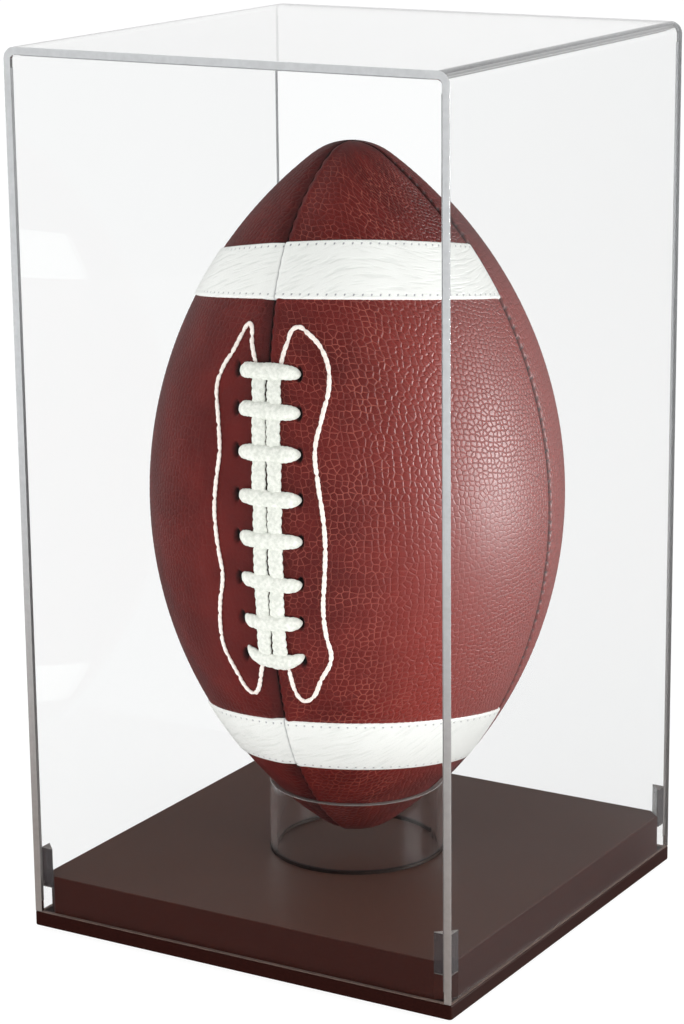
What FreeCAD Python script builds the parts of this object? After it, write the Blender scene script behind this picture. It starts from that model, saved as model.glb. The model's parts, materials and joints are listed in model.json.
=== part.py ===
import FreeCAD, Part
import math
import os

import Sketcher

# Football display case: a clear acrylic cover over a two-step wooden base, with an
# acrylic ring stand that holds a full-size football upright on its tip.
# Millimetres. +Z is up, the front of the case faces -Y, and the origin is on the
# floor under the middle of the case. The lace side of the ball faces the front.

DIMENSIONS = {
    # acrylic cover
    "case_width": 195.0,
    "cover_height": 354.0,
    "sheet_thickness": 3.0,
    "bend_radius": 5.0,
    "cement_film": 0.05,
    "sheet_edge_round": 0.3,
    "block_leg": 5.4,
    "block_height": 17.0,
    "block_lift": 11.0,
    # wooden base
    "foot_height": 1.5,
    "foot_diameter": 12.0,
    "foot_inset": 16.0,
    "plate_height": 6.0,
    "plate_overhang": 0.3,
    "plate_corner_round": 1.5,
    "plate_edge_round": 0.6,
    "platform_height": 16.0,
    "platform_gap": 0.3,
    "platform_corner_cut": 5.3,
    "platform_edge_round": 0.6,
    "groove_depth": 2.0,
    "groove_clearance": 0.3,
    "screw_inset": 38.0,
    "screw_length": 16.0,
    "screw_shank_diameter": 3.5,
    "screw_head_diameter": 7.0,
    "screw_head_depth": 2.2,
    "screw_recess": 0.3,
    "screw_slot_length": 4.2,
    "screw_slot_width": 1.0,
    "screw_slot_depth": 1.5,
    "screw_bore_diameter": 3.6,
    "screw_head_clearance": 0.1,
    "pilot_spare_depth": 1.0,
    # ring stand
    "ring_outer_diameter": 73.0,
    "ring_wall": 2.5,
    "ring_rise": 30.0,
    "ring_edge_round": 0.4,
    # football
    "ball_radius": 83.4,
    "ball_half_length": 144.0,
    "ball_tip_radius": 26.0,
    "ball_rest_gap": 0.1,
    "leather_thickness": 2.4,
    "tip_opening": 1.5,
    "seam_gap_angle": 0.4,
    "bladder_gap": 0.2,
    "bladder_thickness": 0.7,
    "lace_azimuth": 6.0,
    "stripe_thickness": 0.8,
    "upper_stripe_near": 87.0,
    "upper_stripe_far": 107.0,
    "lower_stripe_near": 79.0,
    "lower_stripe_far": 104.0,
    "lace_bar_length": 26.5,
    "lace_bar_width": 6.0,
    "lace_bar_thickness": 2.6,
    "lace_bar_top": 65.0,
    "lace_bar_bottom": 49.0,
    "lace_strip_width": 4.8,
    "lace_strip_thickness": 1.6,
    "lace_strip_spacing": 5.2,
    "lace_layer_gap": 0.15,
    "thread_width": 1.3,
    "thread_thickness": 0.9,
    "valve_diameter": 6.0,
    "valve_bore_diameter": 1.2,
    "valve_azimuth": 140.0,
    "valve_clearance": 0.05,
    "valve_sink": 0.3,
}

# Two lengths closer than this count as equal when edges are picked out.
TOUCH = 0.01
# Sizes that sketches are first drawn at, before their constraints pull them to the real ones.
DRAWN_HALF_WIDTH = 50.0
DRAWN_REACH = 30.0
DRAWN_RADIUS = 2.0

LACE_BARS = 8
PANELS = (
    ("lace_panel_left", -90.0),
    ("lace_panel_right", 0.0),
    ("back_panel_right", 90.0),
    ("back_panel_left", 180.0),
)
VALVE_PANEL = "back_panel_right"
STRIPES = (
    ("upper_stripe_left", "upper", -90.0),
    ("upper_stripe_right", "upper", 0.0),
    ("lower_stripe_left", "lower", -90.0),
    ("lower_stripe_right", "lower", 0.0),
)
# Half of the white thread's outline beside the laces: distance from the lace seam and height
# above the equator, from the top lace bar round to the bottom one.
THREAD_ROUTE = (
    (5.5, 69.0),
    (11.0, 81.0),
    (19.0, 74.0),
    (24.5, 60.0),
    (20.5, 35.0),
    (23.5, 5.0),
    (21.0, -22.0),
    (23.0, -47.0),
    (11.5, -67.0),
    (5.0, -54.0),
)
# The shell that the thread is cut from goes this many degrees past the thread's ends, and this
# many degrees round the ball.
SHELL_MARGIN = 5.0
SHELL_SPAN = 90.0
CORNERS = (("front_left", 0.0), ("front_right", 90.0), ("back_right", 180.0), ("back_left", 270.0))

doc = FreeCAD.newDocument("football_display_case")
sheet = doc.addObject("Spreadsheet::Sheet", "dims")
sub_parts = []


def fill_sheet():
    """Write each driving dimension beside its name, with that name as its alias."""
    for row, (name, value) in enumerate(DIMENSIONS.items(), start=1):
        sheet.set(f"A{row}", name)
        sheet.set(f"B{row}", str(value))
        sheet.setAlias(f"B{row}", name)
    doc.recompute()


def dim(name):
    """The value that the sheet holds for a driving dimension."""
    return float(sheet.get(name))


def bind(thing, **formulas):
    """Bind properties of an object to formulas over the sheet's cells."""
    for name, formula in formulas.items():
        thing.setExpression(name, formula)


def keep(thing, label):
    """Name a finished sub-part and list it for export."""
    thing.Label = label
    sub_parts.append(thing)
    return thing


def new_body(name):
    return doc.addObject("PartDesign::Body", name)


def new_sketch(body, plane):
    """An empty sketch on one of the body's own origin planes."""
    sketch = body.newObject("Sketcher::SketchObject", "sketch")
    support = [item for item in body.Origin.OriginFeatures if item.Role == plane][0]
    sketch.AttachmentSupport = (support, [""])
    sketch.MapMode = "FlatFace"
    return sketch


def pad(body, sketch, length):
    """Pad a sketch by a formula and leave the pad ready to be read."""
    feature = body.newObject("PartDesign::Pad", "pad")
    feature.Profile = sketch
    bind(feature, Length=length)
    doc.recompute()
    return feature


def pocket(body, sketch, depth, reverse=False):
    """Pocket a sketch by a formula and make sure that it took material away."""
    before = body.Shape.Volume
    feature = body.newObject("PartDesign::Pocket", "pocket")
    feature.Profile = sketch
    feature.Reversed = reverse
    bind(feature, Length=depth)
    doc.recompute()
    if body.Shape.Volume >= before:
        raise RuntimeError(body.Name + ": a pocket cuts nothing")
    return feature


def dress(body, kind, base, edges, **formulas):
    """Fillet or chamfer the given edges of a feature."""
    feature = body.newObject("PartDesign::" + kind, kind.lower())
    feature.Base = (base, edges)
    bind(feature, **formulas)
    doc.recompute()
    return feature


def edge_names(shape, chosen):
    """Names of the edges whose bounding box passes the test."""
    return [f"Edge{i}" for i, edge in enumerate(shape.Edges, start=1) if chosen(edge.BoundBox)]


def is_upright(box):
    return box.ZLength > 1 and box.XLength < TOUCH and box.YLength < TOUCH


def rectangle(sketch, width, height, standing=False):
    """A rectangle about the sketch's origin, or standing on its horizontal axis."""
    half = DRAWN_HALF_WIDTH
    low = 0.0 if standing else -half
    corners = [FreeCAD.Vector(x, y, 0) for x, y in ((-half, low), (half, low), (half, half), (-half, half))]
    for start, end in zip(corners, corners[1:] + corners[:1]):
        sketch.addGeometry(Part.LineSegment(start, end), False)
    for line in range(4):
        sketch.addConstraint(Sketcher.Constraint("Coincident", line, 2, (line + 1) % 4, 1))
    for line in (0, 2):
        sketch.addConstraint(Sketcher.Constraint("Horizontal", line))
        sketch.addConstraint(Sketcher.Constraint("Vertical", line + 1))
    if standing:
        sketch.addConstraint(Sketcher.Constraint("Symmetric", 0, 1, 0, 2, -1, 1))
    else:
        sketch.addConstraint(Sketcher.Constraint("Symmetric", 0, 1, 1, 2, -1, 1))
    bound_constraint(sketch, width, "DistanceX", 0, 1, 0, 2, 2 * half)
    bound_constraint(sketch, height, "DistanceY", 1, 1, 1, 2, half - low)


def bound_constraint(sketch, formula, *terms):
    """Add a dimension to a sketch and bind it to a formula."""
    index = sketch.addConstraint(Sketcher.Constraint(*terms))
    sketch.setExpression(f"Constraints[{index}]", formula)


def circle_on_origin(sketch, radius):
    """A circle about the sketch's origin, its radius bound to a formula."""
    index = sketch.addGeometry(Part.Circle(FreeCAD.Vector(), FreeCAD.Vector(0, 0, 1), DRAWN_REACH), False)
    sketch.addConstraint(Sketcher.Constraint("Coincident", index, 3, -1, 1))
    bound_constraint(sketch, radius, "Radius", index, DRAWN_REACH)


def circle_at(sketch, x, y, radius):
    """A circle at a point whose distances from both axes are equal to one formula each."""
    centre = FreeCAD.Vector(math.copysign(DRAWN_REACH, x[0]), math.copysign(DRAWN_REACH, y[0]), 0)
    index = sketch.addGeometry(Part.Circle(centre, FreeCAD.Vector(0, 0, 1), DRAWN_RADIUS), False)
    bound_constraint(sketch, radius, "Radius", index, DRAWN_RADIUS)
    for kind, (side, formula) in (("DistanceX", x), ("DistanceY", y)):
        ends = (index, 3, -1, 1) if side < 0 else (-1, 1, index, 3)
        bound_constraint(sketch, formula, kind, *ends, DRAWN_REACH)


# ---- wooden base -----------------------------------------------------------------------------


def four_around(make, name, label, inset):
    """Four copies of one small piece near the corners of the base, kept as one sub-part."""
    copies = []
    reach = dim("case_width") / 2 - dim(inset)
    for number, (x, y) in enumerate(((-1, -1), (1, -1), (1, 1), (-1, 1)), start=1):
        copy = make(f"{name}_{number}")
        copy.Placement.Base = copy.Placement.Base + FreeCAD.Vector(x * reach, y * reach, 0)
        copies.append(copy)
    group = doc.addObject("Part::Compound", name + "s")
    group.Links = copies
    return keep(group, label)


def make_foot(name):
    foot = doc.addObject("Part::Cylinder", name)
    bind(foot, Radius="dims.foot_diameter / 2", Height="dims.foot_height")
    return foot


def make_base_plate():
    """The lower board, a hair wider than the cover that stands on it."""
    body = new_body("plate")
    sketch = new_sketch(body, "XY_Plane")
    width = "dims.case_width + 2 * dims.plate_overhang"
    rectangle(sketch, width, width)
    board = pad(body, sketch, "dims.plate_height")
    corners = edge_names(board.Shape, is_upright)
    rounded = dress(body, "Fillet", board, corners, Radius="dims.plate_corner_round")
    height = dim("plate_height")
    rims = edge_names(rounded.Shape, lambda box: box.ZMin > height - TOUCH or box.ZMax < TOUCH)
    dress(body, "Fillet", rounded, rims, Radius="dims.plate_edge_round")
    bores = new_sketch(body, "XY_Plane")
    screw_pattern(bores, "dims.screw_bore_diameter / 2")
    pocket(body, bores, "dims.plate_height", reverse=True)
    heads = new_sketch(body, "XY_Plane")
    screw_pattern(heads, "dims.screw_head_diameter / 2 + dims.screw_head_clearance")
    pocket(body, heads, "dims.screw_head_depth + dims.screw_recess", reverse=True)
    body.Placement.Base.z = dim("foot_height")
    keep(body, "base_plate")


def screw_pattern(sketch, radius):
    """Four circles where the screws go."""
    reach = "dims.case_width / 2 - dims.screw_inset"
    for x, y in ((-1, -1), (1, -1), (1, 1), (-1, 1)):
        circle_at(sketch, (x, reach), (y, reach), radius)


def make_platform():
    """The upper board that the cover slips over, with a groove for the ring stand."""
    body = new_body("platform")
    sketch = new_sketch(body, "XY_Plane")
    width = "dims.case_width - 2 * dims.sheet_thickness - 2 * dims.platform_gap"
    rectangle(sketch, width, width)
    board = pad(body, sketch, "dims.platform_height")
    corners = edge_names(board.Shape, is_upright)
    cut = dress(body, "Chamfer", board, corners, Size="dims.platform_corner_cut")
    height = dim("platform_height")
    rim = edge_names(cut.Shape, lambda box: box.ZMin > height - TOUCH)
    dress(body, "Fillet", cut, rim, Radius="dims.platform_edge_round")
    groove = new_sketch(body, "XY_Plane")
    groove.AttachmentOffset.Base.z = height
    circle_on_origin(groove, "dims.ring_outer_diameter / 2 + dims.groove_clearance")
    circle_on_origin(groove, "dims.ring_outer_diameter / 2 - dims.ring_wall - dims.groove_clearance")
    pocket(body, groove, "dims.groove_depth")
    pilots = new_sketch(body, "XY_Plane")
    screw_pattern(pilots, "dims.screw_shank_diameter / 2")
    pilot_depth = "dims.screw_length + dims.screw_recess + dims.pilot_spare_depth - dims.plate_height"
    pocket(body, pilots, pilot_depth, reverse=True)
    body.Placement.Base.z = dim("foot_height") + dim("plate_height")
    keep(body, "base_platform")


def make_screw(name):
    """A countersunk wood screw, driven up through the plate into the platform."""
    head = doc.addObject("Part::Cone", name + "_head")
    bind(
        head,
        Radius1="dims.screw_head_diameter / 2",
        Radius2="dims.screw_shank_diameter / 2",
        Height="dims.screw_head_depth",
    )
    shank = doc.addObject("Part::Cylinder", name + "_shank")
    bind(shank, Radius="dims.screw_shank_diameter / 2", Height="dims.screw_length")
    cross = []
    for turn in (0, 90):
        slot = doc.addObject("Part::Box", f"{name}_slot_{turn}")
        bind(
            slot,
            Length="dims.screw_slot_length",
            Width="dims.screw_slot_width",
            Height="dims.screw_slot_depth",
        )
        slot.Placement.Rotation = FreeCAD.Rotation(FreeCAD.Vector(0, 0, 1), turn)
        offset = FreeCAD.Vector(-dim("screw_slot_length") / 2, -dim("screw_slot_width") / 2, 0)
        slot.Placement.Base = slot.Placement.Rotation.multVec(offset)
        cross.append(slot)
    whole = doc.addObject("Part::MultiFuse", name + "_whole")
    whole.Shapes = [head, shank]
    recess = doc.addObject("Part::MultiFuse", name + "_recess")
    recess.Shapes = cross
    screw = doc.addObject("Part::Cut", name)
    screw.Base = whole
    screw.Tool = recess
    screw.Placement.Base.z = dim("foot_height") + dim("screw_recess")
    return screw


# ---- ring stand ------------------------------------------------------------------------------


def make_ring():
    """A short acrylic tube, standing loose in the platform's groove."""
    body = new_body("ring")
    sketch = new_sketch(body, "XY_Plane")
    circle_on_origin(sketch, "dims.ring_outer_diameter / 2")
    circle_on_origin(sketch, "dims.ring_outer_diameter / 2 - dims.ring_wall")
    tube = pad(body, sketch, "dims.ring_rise + dims.groove_depth")
    top = dim("ring_rise") + dim("groove_depth")
    rims = edge_names(tube.Shape, lambda box: box.ZMin > top - TOUCH)
    dress(body, "Fillet", tube, rims, Radius="dims.ring_edge_round")
    body.Placement.Base.z = platform_top() - dim("groove_depth")
    keep(body, "support_ring")


def platform_top():
    return dim("foot_height") + dim("plate_height") + dim("platform_height")


# ---- acrylic cover ---------------------------------------------------------------------------


def make_wrap():
    """One sheet bent in a U: the left side, the top and the right side of the cover."""
    body = new_body("wrap")
    outside = new_sketch(body, "XZ_Plane")
    rectangle(outside, "dims.case_width", "dims.cover_height", standing=True)
    block = pad(body, outside, "dims.case_width")
    block.Midplane = True
    inside = new_sketch(body, "XZ_Plane")
    width = "dims.case_width - 2 * dims.sheet_thickness"
    rectangle(inside, width, "dims.cover_height - dims.sheet_thickness", standing=True)
    hollow = pocket(body, inside, "dims.case_width")
    hollow.Midplane = True
    doc.recompute()
    top = dim("cover_height")
    ceiling = top - dim("sheet_thickness")
    half = dim("case_width") / 2

    def is_bend(box, height, reach):
        here = abs(box.ZMin - height) < TOUCH and abs(abs(box.XMin) - reach) < TOUCH
        return here and box.YLength > 1

    inner = edge_names(hollow.Shape, lambda box: is_bend(box, ceiling, half - dim("sheet_thickness")))
    hollow = dress(body, "Fillet", hollow, inner, Radius="dims.bend_radius - dims.sheet_thickness")
    outer = edge_names(hollow.Shape, lambda box: is_bend(box, top, half))
    bent = dress(body, "Fillet", hollow, outer, Radius="dims.bend_radius")
    rims = edge_names(bent.Shape, lambda box: box.YLength < 1 or box.ZMax < TOUCH)
    dress(body, "Fillet", bent, rims, Radius="dims.sheet_edge_round")
    body.Placement.Base.z = cover_bottom()
    keep(body, "cover_wrap")


def cover_bottom():
    return dim("foot_height") + dim("plate_height")


def make_flat_panel(side, label):
    """A flat sheet cemented between the legs of the wrap, flush with its cut edge."""
    body = new_body(label)
    sketch = new_sketch(body, "XZ_Plane")
    width = "dims.case_width - 2 * (dims.sheet_thickness + dims.cement_film)"
    height = "dims.cover_height - dims.sheet_thickness - dims.cement_film"
    rectangle(sketch, width, height, standing=True)
    slab = pad(body, sketch, "dims.sheet_thickness")
    slab.Midplane = True
    doc.recompute()
    top = dim("cover_height") - dim("sheet_thickness") - dim("cement_film")
    corners = edge_names(
        slab.Shape, lambda box: box.YLength > 1 and box.ZMin > top - TOUCH and box.XLength < 1
    )
    corner_round = "dims.bend_radius - dims.sheet_thickness - dims.cement_film"
    rounded = dress(body, "Fillet", slab, corners, Radius=corner_round)
    rims = edge_names(rounded.Shape, lambda box: box.YLength < TOUCH)
    dress(body, "Fillet", rounded, rims, Radius="dims.sheet_edge_round")
    reach = (dim("case_width") - dim("sheet_thickness")) / 2
    body.Placement.Base = FreeCAD.Vector(0, side * reach, cover_bottom())
    keep(body, label)


def make_corner_block(corner, turn):
    """A three-sided acrylic block that stiffens one bottom corner of the cover."""
    body = new_body("block_" + corner)
    sketch = new_sketch(body, "XY_Plane")
    leg = dim("block_leg")
    points = [FreeCAD.Vector(x, y, 0) for x, y in ((0, 0), (leg, 0), (0, leg))]
    for start, end in zip(points, points[1:] + points[:1]):
        sketch.addGeometry(Part.LineSegment(start, end), False)
    for line in range(3):
        sketch.addConstraint(Sketcher.Constraint("Coincident", line, 2, (line + 1) % 3, 1))
    sketch.addConstraint(Sketcher.Constraint("Coincident", 0, 1, -1, 1))
    sketch.addConstraint(Sketcher.Constraint("Horizontal", 0))
    sketch.addConstraint(Sketcher.Constraint("Vertical", 2))
    bound_constraint(sketch, "dims.block_leg", "DistanceX", 0, 1, 0, 2, leg)
    bound_constraint(sketch, "dims.block_leg", "DistanceY", 2, 2, 2, 1, leg)
    pad(body, sketch, "dims.block_height")
    reach = dim("case_width") / 2 - dim("sheet_thickness") - dim("cement_film")
    spin = FreeCAD.Rotation(FreeCAD.Vector(0, 0, 1), turn)
    corner_point = spin.multVec(FreeCAD.Vector(-reach, -reach, 0))
    corner_point.z = cover_bottom() + dim("block_lift")
    body.Placement = FreeCAD.Placement(corner_point, spin)
    keep(body, "corner_block_" + corner)


# ---- football --------------------------------------------------------------------------------
#
# The ball's outline is two kinds of arc: a long side arc, whose centre lies beyond the axis on
# the equatorial plane, and a small tip arc centred on the axis, tangent to it. Every layer of
# the ball is an offset of that outline, so all of them share the same centres.

SIDE_RADIUS = (
    "((dims.ball_half_length - dims.ball_tip_radius)^2 + dims.ball_radius^2 - dims.ball_tip_radius^2)"
    " / (2 * (dims.ball_radius - dims.ball_tip_radius))"
)


def side_radius():
    tip, equator = dim("ball_tip_radius"), dim("ball_radius")
    reach = dim("ball_half_length") - tip
    return (reach**2 + equator**2 - tip**2) / (2 * (equator - tip))


def side_centre():
    """Distance of the side arc's centre from the axis, on the side away from the arc."""
    return side_radius() - dim("ball_radius")


def radius_at(height):
    """The ball's radius at a height above its equator, on the side arc."""
    return math.sqrt(side_radius() ** 2 - height**2) - side_centre()


def ball_height():
    """Height of the equator when the ball rests on the rounded inner edge of the ring."""
    edge = dim("ring_edge_round")
    reach = dim("ring_outer_diameter") / 2 - dim("ring_wall") + edge + side_centre()
    drop = math.sqrt((side_radius() + edge) ** 2 - reach**2)
    return platform_top() + dim("ring_rise") - edge + drop + dim("ball_rest_gap")


def ball_placement(azimuth):
    """Ball's centre, turned so that local +X points at an azimuth from the front, towards +X."""
    turn = FreeCAD.Rotation(FreeCAD.Vector(0, 0, 1), dim("lace_azimuth") + azimuth - 90)
    return FreeCAD.Placement(FreeCAD.Vector(0, 0, ball_height()), turn)


def formula(names):
    """The sum of some cells, as an expression."""
    return " + ".join("dims." + name for name in names) or "0"


def layer_section(sketch, outer, inner, airtight):
    """Section of one layer of the ball, between two insets of its outline.

    Each inset is a list of the thicknesses that lie outside it. An airtight layer closes on
    the axis; any other stops short of it, where the points of the panels meet.
    """
    centre = side_centre()
    reach = dim("ball_half_length") - dim("ball_tip_radius")
    lean = math.atan2(reach, centre)
    flat = FreeCAD.Vector(0, 0, 1)
    ends = []
    for names in (outer, inner):
        inset = sum(dim(name) for name in names)
        tip = dim("ball_tip_radius") - inset
        stop = math.acos(0 if airtight else dim("tip_opening") / tip)
        side = Part.Circle(FreeCAD.Vector(-centre, 0, 0), flat, side_radius() - inset)
        upper = Part.Circle(FreeCAD.Vector(0, reach, 0), flat, tip)
        lower = Part.Circle(FreeCAD.Vector(0, -reach, 0), flat, tip)
        first = sketch.addGeometry(Part.ArcOfCircle(side, -lean, lean), False)
        sketch.addGeometry(Part.ArcOfCircle(upper, lean, stop), False)
        sketch.addGeometry(Part.ArcOfCircle(lower, -stop, -lean), False)
        ends.append([(first + 1, 2, upper.value(stop)), (first + 2, 1, lower.value(-stop))])
        fix_layer_arcs(sketch, first, formula(names), airtight, tip, centre, reach)
    for (arc, position, start), (other, other_position, end) in zip(*ends):
        line = sketch.addGeometry(Part.LineSegment(start, end), False)
        sketch.addConstraint(Sketcher.Constraint("Coincident", line, 1, arc, position))
        sketch.addConstraint(Sketcher.Constraint("Coincident", line, 2, other, other_position))


def fix_layer_arcs(sketch, first, inset, airtight, tip, centre, reach):
    """Constrain a side arc and its two tip arcs, which follow it in the sketch."""
    upper, lower = first + 1, first + 2
    sketch.addConstraint(Sketcher.Constraint("Tangent", first, 2, upper, 1))
    sketch.addConstraint(Sketcher.Constraint("Tangent", first, 1, lower, 2))
    sketch.addConstraint(Sketcher.Constraint("PointOnObject", first, 3, -1))
    sketch.addConstraint(Sketcher.Constraint("PointOnObject", upper, 3, -2))
    sketch.addConstraint(Sketcher.Constraint("PointOnObject", lower, 3, -2))
    far = f"{SIDE_RADIUS} - dims.ball_radius"
    bound_constraint(sketch, far, "DistanceX", first, 3, -1, 1, centre)
    half = "dims.ball_half_length - dims.ball_tip_radius"
    bound_constraint(sketch, half, "DistanceY", -1, 1, upper, 3, reach)
    bound_constraint(sketch, half, "DistanceY", lower, 3, -1, 1, reach)
    bound_constraint(sketch, f"dims.ball_tip_radius - ({inset})", "Radius", upper, tip)
    for arc, position in ((upper, 2), (lower, 1)):
        if airtight:
            sketch.addConstraint(Sketcher.Constraint("PointOnObject", arc, position, -2))
        else:
            opening = dim("tip_opening")
            bound_constraint(sketch, "dims.tip_opening", "DistanceX", -1, 1, arc, position, opening)


def revolve(body, sketch, angle):
    """Turn a section about the ball's axis by a formula."""
    feature = body.newObject("PartDesign::Revolution", "revolution")
    feature.Profile = sketch
    feature.ReferenceAxis = (sketch, ["V_Axis"])
    bind(feature, Angle=angle)
    doc.recompute()
    return feature


def make_panel(label, azimuth):
    """One of the four leather panels, a quarter of the ball's skin."""
    body = new_body("skin_" + label)
    sketch = new_sketch(body, "XZ_Plane")
    layer_section(sketch, [], ["leather_thickness"], airtight=False)
    revolve(body, sketch, "90 - dims.seam_gap_angle")
    body.Placement = ball_placement(azimuth + dim("seam_gap_angle") / 2)
    if label == VALVE_PANEL:
        body = cut_valve_hole(body)
    keep(body, label)


def radial_rod(name, azimuth, start, **formulas):
    """A cylinder on a radius of the equator, from a distance from the axis outwards."""
    rod = doc.addObject("Part::Cylinder", name)
    bind(rod, **formulas)
    ball = ball_placement(azimuth)
    outwards = FreeCAD.Rotation(FreeCAD.Vector(0, 1, 0), 90)
    rod.Placement = ball.multiply(FreeCAD.Placement(FreeCAD.Vector(start, 0, 0), outwards))
    return rod


def cut_valve_hole(panel):
    """The hole that the inflation valve shows through."""
    start = dim("ball_radius") - 2 * dim("leather_thickness")
    hole = radial_rod(
        "valve_hole",
        dim("valve_azimuth"),
        start,
        Radius="dims.valve_diameter / 2 + dims.valve_clearance",
        Height="3 * dims.leather_thickness",
    )
    cut = doc.addObject("Part::Cut", "panel_with_hole")
    cut.Base = panel
    cut.Tool = hole
    return cut


def make_valve():
    """The rubber plug of the bladder, bored for the pump's needle."""
    start = dim("ball_radius") - dim("leather_thickness")
    plug = radial_rod(
        "valve_plug",
        dim("valve_azimuth"),
        start,
        Radius="dims.valve_diameter / 2",
        Height="dims.leather_thickness - dims.valve_sink",
    )
    bore = radial_rod(
        "valve_bore",
        dim("valve_azimuth"),
        start,
        Radius="dims.valve_bore_diameter / 2",
        Height="dims.leather_thickness",
    )
    valve = doc.addObject("Part::Cut", "valve")
    valve.Base = plug
    valve.Tool = bore
    keep(valve, "inflation_valve")


def make_bladder():
    """The airtight rubber bladder inside the leather."""
    body = new_body("bladder")
    sketch = new_sketch(body, "XZ_Plane")
    outer = ["leather_thickness", "bladder_gap"]
    layer_section(sketch, outer, outer + ["bladder_thickness"], airtight=True)
    revolve(body, sketch, "360")
    body.Placement = ball_placement(0)
    keep(body, "bladder")


def stripe_section(sketch, half):
    """Section of a stripe on the upper or lower half of the ball, between its two edges."""
    up = half == "upper"
    near, far = dim(half + "_stripe_near"), dim(half + "_stripe_far")
    centre = FreeCAD.Vector(-side_centre(), 0, 0)
    ends = []
    for extra, cells in ((dim("stripe_thickness"), " + dims.stripe_thickness"), (0.0, "")):
        radius = side_radius() + extra
        angles = sorted(math.asin((1 if up else -1) * height / radius) for height in (near, far))
        circle = Part.Circle(centre, FreeCAD.Vector(0, 0, 1), radius)
        arc = sketch.addGeometry(Part.ArcOfCircle(circle, *angles), False)
        sketch.addConstraint(Sketcher.Constraint("PointOnObject", arc, 3, -1))
        bound_constraint(
            sketch, f"{SIDE_RADIUS} - dims.ball_radius", "DistanceX", arc, 3, -1, 1, side_centre()
        )
        bound_constraint(sketch, SIDE_RADIUS + cells, "Radius", arc, radius)
        for position, name in ((1, "near" if up else "far"), (2, "far" if up else "near")):
            span = (-1, 1, arc, position) if up else (arc, position, -1, 1)
            height = near if name == "near" else far
            bound_constraint(sketch, f"dims.{half}_stripe_{name}", "DistanceY", *span, height)
        ends.append([(arc, 1, circle.value(angles[0])), (arc, 2, circle.value(angles[1]))])
    for (arc, position, start), (other, other_position, end) in zip(*ends):
        line = sketch.addGeometry(Part.LineSegment(start, end), False)
        sketch.addConstraint(Sketcher.Constraint("Coincident", line, 1, arc, position))
        sketch.addConstraint(Sketcher.Constraint("Coincident", line, 2, other, other_position))


def make_stripe(label, half, azimuth):
    """A white band sewn over one lace-side panel."""
    body = new_body(label)
    sketch = new_sketch(body, "XZ_Plane")
    stripe_section(sketch, half)
    revolve(body, sketch, "90 - dims.seam_gap_angle")
    body.Placement = ball_placement(azimuth + dim("seam_gap_angle") / 2)
    keep(body, label)


def side_point(lean, out, across=0.0):
    """A point over the lace seam: an angle up the side arc, a height off it, a shift across it."""
    reach = side_radius() + out
    return FreeCAD.Vector(reach * math.cos(lean) - side_centre(), across, reach * math.sin(lean))


def ellipse(name, placement, **formulas):
    shape = doc.addObject("Part::Ellipse", name)
    bind(shape, **formulas)
    shape.Placement = placement
    return shape


def swept_ellipse(source, name, axis, base, angle, symmetric):
    """A solid made by turning an elliptical section about an axis."""
    solid = doc.addObject("Part::Revolution", name)
    solid.Source = source
    solid.Axis = axis
    solid.Base = base
    solid.Angle = angle
    solid.Symmetric = symmetric
    solid.Solid = True
    return solid


def group(name, members, label):
    """Separate solids of one kind, kept as one sub-part on the ball."""
    whole = doc.addObject("Part::Compound", name)
    whole.Links = members
    whole.Placement = ball_placement(0)
    keep(whole, label)


def make_lace_bars():
    """The short stretches of lace that cross the seam, over the two long ones."""
    bars = []
    out = dim("lace_strip_thickness") + dim("lace_layer_gap") + dim("lace_bar_thickness") / 2
    span = dim("lace_bar_top") + dim("lace_bar_bottom")
    for number in range(LACE_BARS):
        height = dim("lace_bar_top") - span * number / (LACE_BARS - 1)
        lean = math.asin(height / side_radius())
        upwards = FreeCAD.Vector(-math.sin(lean), 0, math.cos(lean))
        outwards = FreeCAD.Vector(math.cos(lean), 0, math.sin(lean))
        facing = FreeCAD.Rotation(upwards, outwards, FreeCAD.Vector(0, 1, 0), "XYZ")
        section = ellipse(
            f"bar_section_{number}",
            FreeCAD.Placement(side_point(lean, out), facing),
            MajorRadius="dims.lace_bar_width / 2",
            MinorRadius="dims.lace_bar_thickness / 2",
        )
        turn = 2 * math.degrees(math.asin(dim("lace_bar_length") / 2 / radius_at(height)))
        axis = FreeCAD.Vector(0, 0, 1)
        bars.append(swept_ellipse(section, f"bar_{number}", axis, FreeCAD.Vector(), turn, True))
    group("bars", bars, "lace_cross_bars")


def make_lace_strips():
    """The two long stretches of lace that lie along the seam, under the bars."""
    strips = []
    top = math.asin(dim("lace_bar_top") / side_radius())
    bottom = -math.asin(dim("lace_bar_bottom") / side_radius())
    facing = FreeCAD.Rotation(
        FreeCAD.Vector(0, 1, 0),
        FreeCAD.Vector(math.cos(top), 0, math.sin(top)),
        FreeCAD.Vector(math.sin(top), 0, -math.cos(top)),
        "XYZ",
    )
    for side in (-1, 1):
        across = side * dim("lace_strip_spacing") / 2
        section = ellipse(
            f"strip_section_{side + 1}",
            FreeCAD.Placement(side_point(top, dim("lace_strip_thickness") / 2, across), facing),
            MajorRadius="dims.lace_strip_width / 2",
            MinorRadius="dims.lace_strip_thickness / 2",
        )
        centre = FreeCAD.Vector(-side_centre(), 0, 0)
        turn = math.degrees(top - bottom)
        axis = FreeCAD.Vector(0, 1, 0)
        strips.append(swept_ellipse(section, f"strip_{side + 1}", axis, centre, turn, False))
    group("strips", strips, "lace_strips")


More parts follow.
